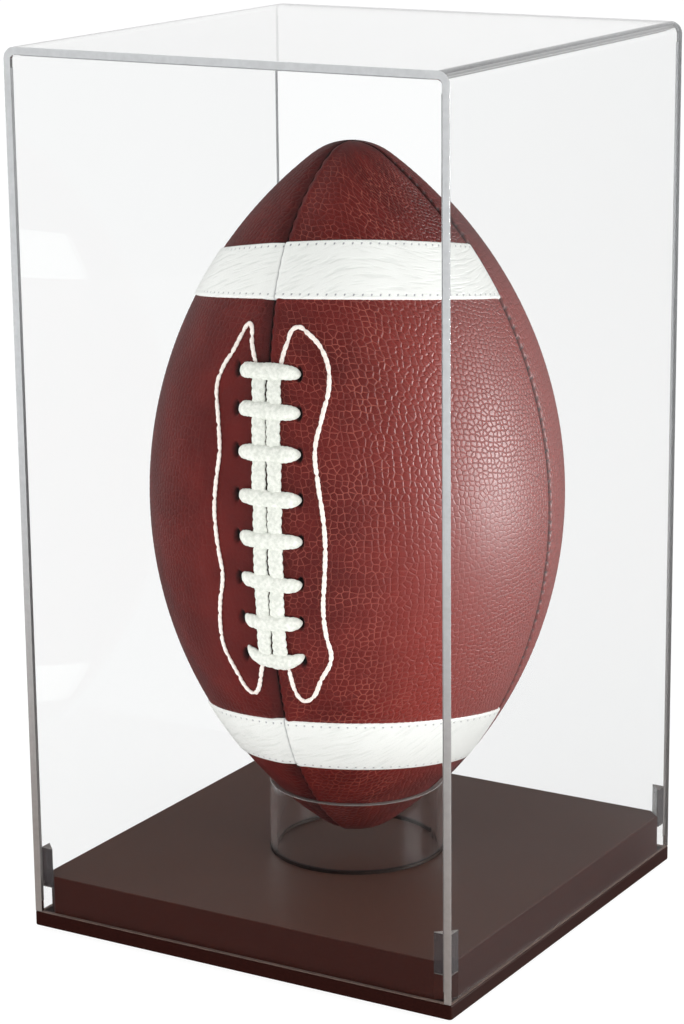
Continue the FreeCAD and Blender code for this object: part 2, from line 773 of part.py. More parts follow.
def ribbon_edges(route, width):
    """Both edges of a flat ribbon that follows a route of straight runs, as one closed outline."""
    edges = ([], [])
    last = len(route) - 1
    for number, (across, height) in enumerate(route):
        before, after = route[max(number - 1, 0)], route[min(number + 1, last)]
        run = FreeCAD.Vector(0, after[0] - before[0], after[1] - before[1]).normalize()
        side = FreeCAD.Vector(0, -run.z, run.y) * (width / 2)
        point = FreeCAD.Vector(0, across, height)
        edges[0].append(point + side)
        edges[1].append(point - side)
    return edges[0] + edges[1][::-1]


def make_thread(side, label):
    """The white thread beside the laces: a ribbon cut out of a thin shell over the leather."""
    route = [(side * across, height) for across, height in THREAD_ROUTE]
    outline = ribbon_edges(route, dim("thread_width"))
    ribbon = Part.Face(Part.makePolygon(outline + outline[:1]))
    slab = ribbon.extrude(FreeCAD.Vector(2 * dim("ball_radius"), 0, 0))
    centre = FreeCAD.Vector(-side_centre(), 0, 0)
    upright = FreeCAD.Vector(0, -1, 0)
    lean = math.degrees(math.asin(THREAD_ROUTE[1][1] / side_radius())) + SHELL_MARGIN
    arcs = [
        Part.makeCircle(side_radius() + out, centre, upright, -lean, lean)
        for out in (0, dim("thread_thickness"))
    ]
    inner, outer = arcs
    caps = [
        Part.makeLine(inner.valueAt(inner.FirstParameter), outer.valueAt(outer.FirstParameter)),
        Part.makeLine(inner.valueAt(inner.LastParameter), outer.valueAt(outer.LastParameter)),
    ]
    section = Part.Face(Part.Wire(Part.sortEdges([inner, outer] + caps)[0]))
    axis = FreeCAD.Vector(0, 0, 1)
    section.rotate(FreeCAD.Vector(), axis, -SHELL_SPAN / 2)
    shell = section.revolve(FreeCAD.Vector(), axis, SHELL_SPAN)
    thread = doc.addObject("Part::Feature", label)
    thread.Shape = slab.common(shell).Solids[0]
    thread.Placement = ball_placement(0)
    keep(thread, label)


# ---- document --------------------------------------------------------------------------------


def check_document():
    """Stop if any object failed to compute or any sub-part has no valid shape."""
    for item in doc.Objects:
        if "Invalid" in item.State or "Error" in item.State:
            raise RuntimeError(f"{item.Label} failed: {item.State}")
    for item in sub_parts:
        if item.Shape.isNull() or not item.Shape.isValid():
            raise RuntimeError(f"{item.Label} has no valid shape")


def export():
    os.makedirs("parts", exist_ok=True)
    for item in sub_parts:
        item.Shape.exportStep(f"parts/{item.Label}.step")
        print(f"{item.Label}: {len(item.Shape.Solids)} solid(s), {item.Shape.Volume / 1000:.2f} cm3")


def build():
    fill_sheet()
    four_around(make_foot, "foot", "rubber_feet", "foot_inset")
    make_base_plate()
    make_platform()
    four_around(make_screw, "screw", "platform_screws", "screw_inset")
    make_ring()
    make_wrap()
    make_flat_panel(-1, "cover_front_panel")
    make_flat_panel(1, "cover_back_panel")
    for corner, turn in CORNERS:
        make_corner_block(corner, turn)
    for label, azimuth in PANELS:
        make_panel(label, azimuth)
    for label, half, azimuth in STRIPES:
        make_stripe(label, half, azimuth)
    make_bladder()
    make_valve()
    make_lace_bars()
    make_lace_strips()
    make_thread(-1, "lace_thread_left")
    make_thread(1, "lace_thread_right")
    doc.recompute()
    check_document()
    export()


build()
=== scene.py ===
import json
import math
import random

import bpy
import numpy as np
from mathutils import Matrix, Vector


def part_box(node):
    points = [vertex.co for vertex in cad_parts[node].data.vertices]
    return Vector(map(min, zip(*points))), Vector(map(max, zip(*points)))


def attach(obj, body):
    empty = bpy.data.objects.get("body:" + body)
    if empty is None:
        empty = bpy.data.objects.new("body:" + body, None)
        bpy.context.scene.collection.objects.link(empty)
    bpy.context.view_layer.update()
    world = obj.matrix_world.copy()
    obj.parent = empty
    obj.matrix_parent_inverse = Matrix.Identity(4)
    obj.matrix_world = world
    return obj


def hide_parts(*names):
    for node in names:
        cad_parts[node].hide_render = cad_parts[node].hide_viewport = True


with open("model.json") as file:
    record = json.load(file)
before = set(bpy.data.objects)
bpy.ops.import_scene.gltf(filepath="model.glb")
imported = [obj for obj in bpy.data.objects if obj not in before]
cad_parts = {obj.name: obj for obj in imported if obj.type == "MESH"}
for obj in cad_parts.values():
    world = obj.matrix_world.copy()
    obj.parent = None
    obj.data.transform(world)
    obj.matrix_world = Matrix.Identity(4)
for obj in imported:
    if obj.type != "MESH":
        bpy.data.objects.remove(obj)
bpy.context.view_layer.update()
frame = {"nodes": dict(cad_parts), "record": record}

# Football display case: a football with white laces stands on its tip in a short acrylic
# tube, on a two-step lacquered base, under a clear acrylic cover. Metres, +Z up, the front
# of the case faces -Y. Azimuths are degrees from the front, turning towards +X.

MM = 0.001

# ---- places that come from the frame ----

PANELS = ("lace_panel_left", "lace_panel_right", "back_panel_right", "back_panel_left")
panel_boxes = [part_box(name) for name in PANELS]
ball_low = Vector([min(low[axis] for low, high in panel_boxes) for axis in range(3)])
ball_high = Vector([max(high[axis] for low, high in panel_boxes) for axis in range(3)])
BALL_CENTRE = (ball_low.z + ball_high.z) / 2
BALL_RADIUS = (ball_high.x - ball_low.x) / 2
BALL_HALF_LENGTH = (ball_high.z - ball_low.z) / 2
TIP_RADIUS = 26 * MM
LEATHER = 2.4 * MM

# The outline of the ball is a long side arc, centred beyond the axis, and a tip arc.
TIP_CENTRE = BALL_HALF_LENGTH - TIP_RADIUS
SIDE_ARC = (TIP_CENTRE**2 + BALL_RADIUS**2 - TIP_RADIUS**2) / (2 * (BALL_RADIUS - TIP_RADIUS))
SIDE_OFFSET = SIDE_ARC - BALL_RADIUS
TIP_LEAN = math.atan2(TIP_CENTRE, SIDE_OFFSET)

# ---- the ball's surface ----

LACE_MIDDLE = 7.5
SEAM_BOW_UP = 10.5
SEAM_BOW_DOWN = 5.3
BOW_HEIGHT = 105 * MM
SIDE_SEAMS = (-84.0, 95.5, 186.0)


def lean_at_height(height):
    """Tilt of the surface's normal, in radians, at a height above the equator."""
    return np.arcsin(np.clip(height / SIDE_ARC, -1, 1))


def outline(lean):
    """Radius and height of the ball's outline where its normal tilts by lean."""
    side = np.abs(lean) <= TIP_LEAN
    radius = np.where(side, SIDE_ARC * np.cos(lean) - SIDE_OFFSET, TIP_RADIUS * np.cos(lean))
    tip_height = np.sign(lean) * TIP_CENTRE + TIP_RADIUS * np.sin(lean)
    return radius, np.where(side, SIDE_ARC * np.sin(lean), tip_height)


def on_ball(azimuth, lean, out=0.0):
    """Points at an azimuth in degrees and a lean in radians, a distance off the ball."""
    radius, height = outline(lean)
    reach = radius + out * np.cos(lean)
    turn = np.radians(azimuth)
    up = BALL_CENTRE + height + out * np.sin(lean)
    return np.stack(np.broadcast_arrays(reach * np.sin(turn), -reach * np.cos(turn), up), axis=-1)


def ball_normal(azimuth, lean):
    """Directions straight out of the ball."""
    turn = np.radians(azimuth)
    level = np.cos(lean)
    parts = np.broadcast_arrays(level * np.sin(turn), -level * np.cos(turn), np.sin(lean))
    return np.stack(parts, axis=-1)


def lace_seam(height):
    """Azimuth of the seam under the laces, which bows more above the equator than below it."""
    bow = np.where(height > 0, SEAM_BOW_UP, SEAM_BOW_DOWN)
    return LACE_MIDDLE - bow * (height / BOW_HEIGHT) ** 2


def panel_seams(panel, height):
    """Azimuths of the seams where a panel starts and ends."""
    left, right, back = SIDE_SEAMS
    return {
        "lace_panel_left": (left, lace_seam(height)),
        "lace_panel_right": (lace_seam(height), right),
        "back_panel_right": (right, back),
        "back_panel_left": (back, left + 360),
    }[panel]


def smooth(low, high, value):
    """0 below low, 1 above high and a smooth step between."""
    t = np.clip((value - low) / (high - low), 0, 1)
    return t * t * (3 - 2 * t)


def rounded(share):
    """A quarter circle that rises from 0 at share 0 to 1 at share 1, and stays there."""
    return np.sqrt(1 - (1 - np.clip(share, 0, 1)) ** 2)


LIP_WIDTH = 1.4 * MM
LIP_DEPTH = 2.4 * MM
LIP_HEIGHT = 0.45 * MM
LIP_PLACE = 2.2 * MM
SLOPE_WIDTH = 6.5 * MM
SLOPE_DEPTH = 1.7 * MM
EDGE_WIDTH = 1.1 * MM
EDGE_DEPTH = 1.3 * MM
STITCH_PITCH = 4.2 * MM
STITCH_PULL = 0.5
NARROWEST = 0.45
SIDE_SEAM_SCALE = 0.42


def seam_profile(panel, azimuth, lean):
    """Height off the outline: a raised lip where a panel starts, and a slope where it ends."""
    radius, height = outline(lean)
    start, end = panel_seams(panel, height)
    per_degree = np.radians(1) * np.maximum(radius, 0.1 * MM)
    half = np.abs(end - start) / 2 * per_degree
    from_start = (azimuth - start) * per_degree
    to_end = (end - azimuth) * per_degree
    tight = np.clip(half / (SLOPE_WIDTH / NARROWEST), 0.05, 1)
    first = tight * (1.0 if panel == "lace_panel_right" else SIDE_SEAM_SCALE)
    last = tight * (1.0 if panel == "lace_panel_left" else SIDE_SEAM_SCALE)
    pull = 1 + STITCH_PULL * np.sin(2 * np.pi * height / STITCH_PITCH)
    turned_in = -LIP_DEPTH * first * (1 - rounded(from_start / (LIP_WIDTH * first * pull)))
    raised = LIP_HEIGHT * first * np.exp(-(((from_start / first - LIP_PLACE) / LIP_WIDTH) ** 2))
    slope = -SLOPE_DEPTH * last * (1 - smooth(0, SLOPE_WIDTH * last, to_end))
    edge_in = -EDGE_DEPTH * last * (1 - rounded(to_end / (EDGE_WIDTH * last)))
    return turned_in + raised + slope + edge_in, from_start, to_end


def lengths_along(steps):
    """The length of a path up to each of its points, from the steps between them."""
    return np.concatenate([[0], np.cumsum(steps)])


def unit(vectors):
    """Vectors scaled to length 1."""
    return vectors / np.linalg.norm(vectors, axis=1)[:, None]


def to_nearest(length, pitch):
    """Signed distance to the nearest of places that lie a pitch apart."""
    return (length + pitch / 2) % pitch - pitch / 2


# ---- meshes ----


def new_object(name, vertices, faces, shade_smooth=True):
    """An object in the scene, made of a list of vertices and a list of faces."""
    mesh = bpy.data.meshes.new(name)
    mesh.from_pydata(np.asarray(vertices).tolist(), [], faces)
    mesh.validate()
    mesh.update()
    if shade_smooth:
        mesh.shade_smooth()
    thing = bpy.data.objects.new(name, mesh)
    bpy.context.scene.collection.objects.link(thing)
    return thing


def grid_faces(rows, columns, first=0, flip=False):
    """Quads over a grid of vertices, numbered row by row."""
    faces = []
    for row in range(rows - 1):
        for a in range(first + row * columns, first + (row + 1) * columns - 1):
            quad = (a, a + 1, a + columns + 1, a + columns)
            faces.append(quad[::-1] if flip else quad)
    return faces


def rim(rows, columns, first=0):
    """The vertices round the border of a grid, in order."""
    bottom = [first + c for c in range(columns - 1)]
    right = [first + r * columns + columns - 1 for r in range(rows - 1)]
    top = [first + (rows - 1) * columns + c for c in range(columns - 1, 0, -1)]
    left = [first + r * columns for r in range(rows - 1, 0, -1)]
    return bottom + right + top + left


def stitch_rims(outer, inner, step):
    """Faces from a fine rim to a coarse one that has a vertex for every step of the fine one."""
    faces = []
    count = len(outer)
    for number, corner in enumerate(inner):
        near = number * step
        following = inner[(number + 1) % len(inner)]
        for offset in range(step):
            faces.append((corner, outer[(near + offset + 1) % count], outer[near + offset]))
        faces.append((corner, following, outer[(near + step) % count]))
    return faces


def make_skin(name, outer, inner, step, **attributes):
    """A closed skin between two grids of points, the inner one coarser by a step.

    Attributes are numbers or vectors on the outer vertices; on the inner ones they are zero.
    """
    rows, columns = outer.shape[:2]
    coarse_rows, coarse_columns = inner.shape[:2]
    first = rows * columns
    faces = grid_faces(rows, columns)
    faces += grid_faces(coarse_rows, coarse_columns, first, flip=True)
    faces += stitch_rims(rim(rows, columns), rim(coarse_rows, coarse_columns, first), step)
    thing = new_object(name, np.concatenate([outer.reshape(-1, 3), inner.reshape(-1, 3)]), faces)
    for label, values in attributes.items():
        kind, key = ("FLOAT_VECTOR", "vector") if values.ndim == 3 else ("FLOAT", "value")
        values = values.reshape((first,) + values.shape[2:])
        padded = np.zeros((len(thing.data.vertices),) + values.shape[1:], np.float32)
        padded[:first] = values
        thing.data.attributes.new(label, kind, "POINT").data.foreach_set(key, padded.ravel())
    return thing


# ---- shader and geometry graphs ----


class Graph:
    """A node tree with short ways to add what the materials here need."""

    def __init__(self, tree):
        self.tree = tree
        self.shader = self.output = None

    def node(self, kind, settings=None, **inputs):
        made = self.tree.nodes.new(kind)
        for name, value in (settings or {}).items():
            setattr(made, name, value)
        self.fill(made, inputs)
        return made

    def fill(self, node, inputs):
        for name, value in inputs.items():
            self.feed(node.inputs[name.replace("_", " ")], value)

    def paint(self, **inputs):
        """Feed the material's own shader."""
        self.fill(self.shader, inputs)

    def feed(self, socket, value):
        if isinstance(value, bpy.types.NodeSocket):
            self.tree.links.new(value, socket)
        else:
            socket.default_value = value

    def value(self, kind, settings, *inputs):
        """The first output of a node whose first inputs are fed in order."""
        made = self.node(kind, settings)
        for socket, given in zip([s for s in made.inputs if s.enabled], inputs):
            self.feed(socket, given)
        return [s for s in made.outputs if s.enabled][0]

    def math(self, operation, first, second):
        return self.value("ShaderNodeMath", {"operation": operation}, first, second)

    def times(self, *factors):
        product = factors[0]
        for factor in factors[1:]:
            product = self.math("MULTIPLY", product, factor)
        return product

    def vector(self, operation, *inputs):
        return self.value("ShaderNodeVectorMath", {"operation": operation}, *inputs)

    def between(self, value, low, high, start=0.0, end=1.0):
        """Smoothly map a value from low..high to start..end."""
        settings = {"interpolation_type": "SMOOTHSTEP"}
        return self.value("ShaderNodeMapRange", settings, value, low, high, start, end)

    def mix(self, factor, first, second):
        return self.value("ShaderNodeMix", {"data_type": "RGBA"}, factor, first, second)

    def noise(self, place, scale, detail=2.0, roughness=0.5, output="Fac"):
        settings = {"Vector": place, "Scale": scale, "Detail": detail, "Roughness": roughness}
        return self.node("ShaderNodeTexNoise", **settings).outputs[output]

    def bump(self, height, distance, strength=1.0, below=None):
        made = self.node("ShaderNodeBump", Height=height, Distance=distance, Strength=strength)
        if below is not None:
            self.tree.links.new(below, made.inputs["Normal"])
        return made.outputs["Normal"]

    def attribute(self, name, output="Fac"):
        made = self.node("ShaderNodeAttribute", {"attribute_name": name})
        return made.outputs[output]

    def object_place(self):
        return self.node("ShaderNodeTexCoord").outputs["Object"]


def new_material(name, **sockets):
    """A material with a Principled shader on its output, and the Graph that paints it."""
    material = bpy.data.materials.new(name)
    material.use_nodes = True
    material.node_tree.nodes.clear()
    graph = Graph(material.node_tree)
    graph.shader = graph.node("ShaderNodeBsdfPrincipled", **sockets)
    graph.output = graph.node("ShaderNodeOutputMaterial", Surface=graph.shader.outputs[0])
    return material, graph


PEBBLES_PER_METRE = 385.0
PEBBLE_WARP = 1.2 * MM


def pebbles(graph, place):
    """Distance from the nearest crease between pebbles of grain, in pebbles."""
    wander = graph.noise(place, 150.0, 1.0, output="Color")
    centred = graph.vector("SUBTRACT", wander, (0.5, 0.5, 0.5))
    moved = graph.vector("ADD", place, graph.vector("SCALE", centred, PEBBLE_WARP))
    cells = graph.node(
        "ShaderNodeTexVoronoi",
        {"feature": "DISTANCE_TO_EDGE", "voronoi_dimensions": "2D"},
        Vector=moved,
        Scale=PEBBLES_PER_METRE,
        Randomness=0.7,
    )
    return cells.outputs["Distance"]


PEBBLE_HEIGHT = 0.12 * MM


def raise_pebbles(thing):
    """Move the grain's pebbles out of a leather mesh, by its own stored places and relief."""
    tree = bpy.data.node_groups.new("raise_pebbles", "GeometryNodeTree")
    tree.interface.new_socket("Geometry", in_out="INPUT", socket_type="NodeSocketGeometry")
    tree.interface.new_socket("Geometry", in_out="OUTPUT", socket_type="NodeSocketGeometry")
    graph = Graph(tree)
    source = graph.node("NodeGroupInput")
    target = graph.node("NodeGroupOutput")

    def stored(name, kind):
        made = graph.node("GeometryNodeInputNamedAttribute", {"data_type": kind}, Name=name)
        return made.outputs["Attribute"]

    distance = pebbles(graph, stored("grain_place", "FLOAT_VECTOR"))
    rise = graph.times(graph.between(distance, 0.0, 0.34), stored("relief", "FLOAT"), PEBBLE_HEIGHT)
    offset = graph.vector("SCALE", stored("outwards", "FLOAT_VECTOR"), rise)
    moved = graph.node("GeometryNodeSetPosition", Offset=offset)
    tree.links.new(source.outputs[0], moved.inputs["Geometry"])
    tree.links.new(moved.outputs["Geometry"], target.inputs[0])
    modifier = thing.modifiers.new("raise_pebbles", "NODES")
    modifier.node_group = tree
    apply_modifiers(thing)


def apply_modifiers(thing):
    """Replace an object's mesh by what its modifiers make of it."""
    graph = bpy.context.evaluated_depsgraph_get()
    graph.update()
    final = bpy.data.meshes.new_from_object(
        thing.evaluated_get(graph), preserve_all_data_layers=True, depsgraph=graph
    )
    thing.modifiers.clear()
    thing.data = final


# ---- materials ----


def leather_material():
    """Dark red-brown football leather: pebbles with rougher creases; painted light pales the creases and
    the belly, painted shade darkens the seams and holes.
    """
    material, graph = new_material("brown_leather", Specular_IOR_Level=0.25)
    place = graph.attribute("grain_place", "Vector")
    relief = graph.attribute("relief")
    shade = graph.attribute("shade")
    distance = pebbles(graph, place)
    crease = graph.between(distance, 0.015, 0.10, 1.0, 0.0)
    patches = graph.noise(place, 38.0, 3.0)
    fine = graph.noise(place, 900.0, 3.0, 0.6)
    patches = graph.between(patches, 0.3, 0.7)
    base = graph.mix(patches, (0.086, 0.0036, 0.0026, 1), (0.120, 0.0066, 0.0048, 1))
    # Painted light: a lighter red on the belly to the right of the laces.
    base = graph.mix(graph.attribute("rubbed"), base, (0.215, 0.0200, 0.0135, 1))
    # Painted light: the creases turn paler, in random patches, as if their walls caught the light.
    crease_light_patches = graph.noise(place, 120.0)
    crease_light_patches = graph.between(crease_light_patches, 0.35, 0.65, 0.25, 0.75)
    share = graph.times(crease, crease_light_patches, graph.attribute("pale"), relief)
    coloured = graph.mix(share, base, (0.42, 0.11, 0.075, 1))
    # Painted shade: near black along the seams, in the lace holes and in the stitch dips.
    blackened = graph.mix(shade, coloured, (0.004, 0.002, 0.002, 1))
    graph.paint(Base_Color=blackened)
    rough = graph.between(fine, 0.3, 0.7, 0.42, 0.50)
    matt = graph.times(graph.between(distance, 0.0, 0.14, 0.6, 0.0), relief)
    dull = graph.math("MAXIMUM", shade, matt)
    graph.paint(Roughness=graph.math("ADD", rough, graph.times(dull, 0.4)))
    groove = graph.times(graph.between(distance, 0.0, 0.2), relief)
    grain = graph.bump(groove, 0.17 * MM)
    drawn_out = graph.vector("MULTIPLY", place, (1.0, 0.3, 1.0))
    wrinkles = graph.noise(drawn_out, 620.0)
    soft = graph.bump(wrinkles, 0.10 * MM, 0.6, grain)
    graph.paint(Normal=graph.bump(fine, 0.03 * MM, 0.6, soft))
    return material


def stripe_material():
    """White coated leather with fine slanting creases and needle holes along its borders, both darkened by
    painted shade.
    """
    material, graph = new_material("white_stripe", Roughness=0.42, Specular_IOR_Level=0.4)
    place = graph.attribute("grain_place", "Vector")
    hole = graph.attribute("hole")
    patches = graph.noise(place, 60.0)
    base = graph.mix(patches, (0.77, 0.78, 0.75, 1), (0.82, 0.83, 0.80, 1))
    slant = {"Rotation": (0, 0, math.radians(25)), "Scale": (7, 1, 1)}
    slanting = graph.node("ShaderNodeMapping", {"vector_type": "TEXTURE"}, Vector=place, **slant)
    creases = graph.noise(slanting.outputs["Vector"], 620.0, 1.0)
    # Painted shade: the creases are coloured darker.
    crease_shade = graph.between(creases, 0.28, 0.5, 0.35, 0.0)
    shaded = graph.mix(crease_shade, base, (0.62, 0.64, 0.61, 1))
    # Painted shade: dark grey in the needle holes and along the seam line.
    graph.paint(Base_Color=graph.mix(hole, shaded, (0.24, 0.24, 0.27, 1)))
    fine = graph.noise(place, 1100.0)
    grain = graph.bump(graph.between(creases, 0.3, 0.55), 0.12 * MM, 0.8)
    graph.paint(Normal=graph.bump(fine, 0.02 * MM, 0.5, grain))
    return material


def cotton_material(name, pale, shade, knots_per_metre):
    """Matt braided cotton: knots of strands with fuzz over them, painted paler where they stand up and
    darker between them, as painted light and shade.
    """
    material, graph = new_material(name, Roughness=0.9, Specular_IOR_Level=0.15, Sheen_Weight=0.25)
    place = graph.object_place()
    fuzz = graph.noise(place, 1500.0, 3.0, 0.7)
    knots = graph.noise(place, knots_per_metre, 2.0)
    graph.paint(Base_Color=graph.mix(graph.between(knots, 0.3, 0.7), shade, pale))
    strands = graph.bump(knots, 0.25 * MM, 0.8)
    graph.paint(Normal=graph.bump(fuzz, 0.08 * MM, 0.6, strands))
    return material


def lacquer_material(name, dark, light, roughness, dust_and_top_light=0.0):
    """Satin dark lacquer over fine-grained board; what faces up is painted lighter, as painted light and
    sheen from above.
    """
    tint = (1.0, 0.85, 0.75, 1)
    material, graph = new_material(name, Specular_IOR_Level=0.1, Specular_Tint=tint)
    place = graph.object_place()
    stretched = graph.vector("MULTIPLY", place, (1.0, 0.06, 1.0))
    grain = graph.noise(stretched, 900.0, 3.0, 0.6)
    clouds = graph.noise(place, 14.0)
    facing = graph.node("ShaderNodeNewGeometry").outputs["Normal"]
    upwards = graph.vector("DOT_PRODUCT", facing, (0.0, 0.0, 1.0))
    # Painted light: a lighter brown on what faces up, standing in for the light and sheen from above.
    top_light_share = graph.between(upwards, 0.5, 1.0, 0.0, dust_and_top_light)
    bare = graph.mix(graph.between(grain, 0.3, 0.7), dark, light)
    graph.paint(Base_Color=graph.mix(top_light_share, bare, (0.135, 0.070, 0.052, 1)))
    graph.paint(Roughness=graph.between(clouds, 0.3, 0.7, roughness, roughness + 0.06))
    peel = graph.noise(place, 350.0)
    graph.paint(Normal=graph.bump(peel, 0.02 * MM, 0.25))
    return material


def acrylic_material(name, tint):
    """Clear acrylic sheet: it lets direct light straight through and refracts what is seen."""
    glass = {"Roughness": 0.0, "IOR": 1.49, "Transmission_Weight": 1.0, "Specular_Tint": (0.3, 0.3, 0.3, 1)}
    material, graph = new_material(name, Base_Color=tint, **glass)
    clear = graph.value("ShaderNodeBsdfTransparent", {})
    shadow = graph.node("ShaderNodeLightPath").outputs["Is Shadow Ray"]
    mixed = graph.value("ShaderNodeMixShader", {}, shadow, graph.shader.outputs[0], clear)
    graph.fill(graph.output, {"Surface": mixed})
    return material


def rubber_material(name, colour):
    """Matt black rubber, speckled with dust."""
    material, graph = new_material(name, Roughness=0.7)
    place = graph.object_place()
    dust_and_top_light = graph.noise(place, 700.0, 3.0)
    lighter = tuple(1.6 * part for part in colour[:3]) + (1,)
    graph.paint(Base_Color=graph.mix(dust_and_top_light, colour, lighter))
    graph.paint(Normal=graph.bump(dust_and_top_light, 0.03 * MM, 0.5))
    return material


def steel_material():
    """Turned steel of the hidden screws."""
    material, graph = new_material("screw_steel", Base_Color=(0.55, 0.55, 0.56, 1), Metallic=1.0)
    place = graph.object_place()
    turned = graph.noise(place, 1200.0)
    graph.paint(Roughness=graph.between(turned, 0.3, 0.7, 0.25, 0.4))
    graph.paint(Normal=graph.bump(turned, 0.01 * MM, 0.5))
    return material


def dress(thing, material):
    """Give a piece or a node one material."""
    thing.data.materials.clear()
    thing.data.materials.append(material)


def finish_piece(thing, material, body, slot, *nodes):
    """Give a piece its material and its body, and hide the nodes that it stands for. The slot is not used.
    """
    dress(thing, material)
    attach(thing, body)
    if nodes:
        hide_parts(*nodes)


# ---- leather panels ----

PANEL_ROWS = 481
PANEL_COLUMNS = 201
LINING_STEP = 8
BAR_HEIGHTS = [z * MM for z in (64.0, 49.9, 34.3, 17.4, 1.2, -15.8, -32.4, -48.9)]
BAR_REACH = 13.25 * MM
LOW_BAR_SHORTER = 0.07
HOLE_WIDTH = 2.6 * MM
HOLE_HEIGHT = 5.2 * MM
HOLE_DEPTH = 2.0 * MM
# How far the middle of a hole lies past its bar's end, on the left and on the right.
HOLE_PAST_END = {-1: 1.1 * MM, 1: -0.6 * MM}
SEAM_LINE = 0.4 * MM
# How dark the painted shade makes the seam lines, the slope into the lace seam and the stitch dips.
SEAM_PAINTED_SHADE = 0.7
SLOPE_PAINTED_SHADE = 0.5
STITCH_PAINTED_SHADE = 0.85
STITCH_HALF_LENGTH = 0.75 * MM
STITCH_HALF_WIDTH = 1.1 * MM
STITCH_INSET = 0.9 * MM
STITCH_DEPTH = 0.5 * MM
# Degrees from the lace seam to where the right panel's grain starts to get finer, and how much.
FINE_GRAIN_START = 25.0
FINER_ACROSS = 0.15
FINER_ALONG = 0.35
# How strongly each panel's grain is embossed, and the worn patch on the belly where it is flat.
LEFT_RELIEF = 0.15
LEFT_RELIEF_GAIN = 0.75
RIGHT_RELIEF = 0.55
BACK_RELIEF = 0.8
PATCH_AZIMUTH = 66.0
PATCH_WIDTH = 26.0
PATCH_HEIGHT = 40 * MM
PATCH_DROP = 8 * MM
PATCH_FLATNESS = 0.8


def panel_leans(rows):
    """Leans that divide the ball's outline from tip to tip into equal lengths."""
    stop = math.acos(1.5 * MM / TIP_RADIUS)
    fine = np.linspace(-stop, stop, 4001)
    radius, height = outline(fine)
    length = lengths_along(np.hypot(np.diff(radius), np.diff(height)))
    return np.interp(np.linspace(0, length[-1], rows), length, fine)


def bar_reach(height):
    """Half the length of a lace bar: those low on the ball are a little shorter."""
    return BAR_REACH * (1 - LOW_BAR_SHORTER * smooth(0.0, 35 * MM, -height))


def lace_holes(azimuth, lean):
    """1 inside the holes that the lace bars dive into, 0 elsewhere."""
    radius, height = outline(lean)
    across = (azimuth - lace_seam(height)) * np.radians(1) * radius
    inside = np.zeros(np.broadcast(azimuth, lean).shape)
    for bar in BAR_HEIGHTS:
        for side in (-1, 1):
            centre = side * (bar_reach(bar) + HOLE_PAST_END[side])
            far = np.hypot((across - centre) / (HOLE_WIDTH / 2), (height - bar) / (HOLE_HEIGHT / 2))
            inside = np.maximum(inside, 1 - smooth(0.75, 1.25, far))
    return inside


def stitch_holes(panel, lean, from_start):
    """1 where the thread of a side seam pulls the edge of the panel's lip down, 0 elsewhere."""
    if panel == "lace_panel_right":
        return 0 * from_start
    nearest = to_nearest(SIDE_ARC * lean, STITCH_PITCH)
    far = np.hypot(nearest / STITCH_HALF_LENGTH, (from_start - STITCH_INSET) / STITCH_HALF_WIDTH)
    return (1 - smooth(0.5, 1.2, far)) * (np.abs(lean) < TIP_LEAN)


def seam_shade(panel, from_start, to_end):
    """How much painted shade darkens the leather along its seams: most at the turned edges."""
    near_start = SEAM_PAINTED_SHADE * np.exp(-((from_start / SEAM_LINE) ** 2))
    near_end = SEAM_PAINTED_SHADE * np.exp(-((to_end / SEAM_LINE) ** 2))
    if panel == "lace_panel_left":
        line = np.exp(-((to_end / (2 * SEAM_LINE)) ** 2))
        near_end = line + SLOPE_PAINTED_SHADE * np.exp(-to_end / SLOPE_WIDTH)
    return np.clip(near_start + near_end, 0, 1)


def panel_relief(panel, azimuth, lean, from_start, to_end):
    """How strongly the grain is embossed: least beside the laces of the left panel."""
    near = 5.0 * MM if panel == "lace_panel_right" else 2.5 * MM
    edge = smooth(0.8 * MM, near, from_start) * smooth(0.5 * MM, 4.0 * MM, to_end)
    radius, height = outline(lean)
    tip = smooth(6 * MM, 22 * MM, radius)
    if panel == "lace_panel_left":
        stretched = smooth(22 * MM, 60 * MM, to_end)
        away = smooth(50 * MM, 100 * MM, np.abs(height))
        level = LEFT_RELIEF + LEFT_RELIEF_GAIN * np.maximum(0.6 * stretched, away)
    elif panel == "lace_panel_right":
        level = RIGHT_RELIEF + (1 - RIGHT_RELIEF) * smooth(12 * MM, 45 * MM, from_start)
        beside = (azimuth - PATCH_AZIMUTH) / PATCH_WIDTH
        above = (height + PATCH_DROP) / PATCH_HEIGHT
        level = level * (1 - PATCH_FLATNESS * np.exp(-(beside**2) - above**2))
    else:
        level = BACK_RELIEF
    return level * edge * tip


def rubbed_belly(azimuth, lean):
    """How much painted light brightens the leather: most on the belly to the right of the laces."""
    height = outline(lean)[1]
    around = smooth(18.0, 62.0, azimuth) * (1 - smooth(105.0, 160.0, azimuth))
    return around * (1 - smooth(70 * MM, 120 * MM, np.abs(height)))


def pale_creases(panel, from_start):
    """How much painted light pales the creases: most on the hide to the right of the laces."""
    if panel == "lace_panel_right":
        return 1 - 0.85 * smooth(25 * MM, 65 * MM, from_start)
    return np.full_like(from_start, 0.25)


def hide_place(panel, azimuth, lean):
    """Places on the flat hide that a panel was cut from: across, along and which hide."""
    radius, height = outline(lean)
    start, end = panel_seams(panel, height)
    across = (azimuth - (start + end) / 2) * np.radians(1) * radius
    beyond = TIP_RADIUS * (np.abs(lean) - TIP_LEAN)
    along = np.sign(lean) * (SIDE_ARC * np.minimum(np.abs(lean), TIP_LEAN) + np.maximum(beyond, 0))
    hide = np.full_like(across, float(PANELS.index(panel)))
    if panel == "lace_panel_right":
        finer = smooth(start + FINE_GRAIN_START, end, azimuth)
        across = across * (1 + FINER_ACROSS * finer)
        along = along * (1 + FINER_ALONG * finer)
    return np.stack(np.broadcast_arrays(across, along, hide), axis=-1)


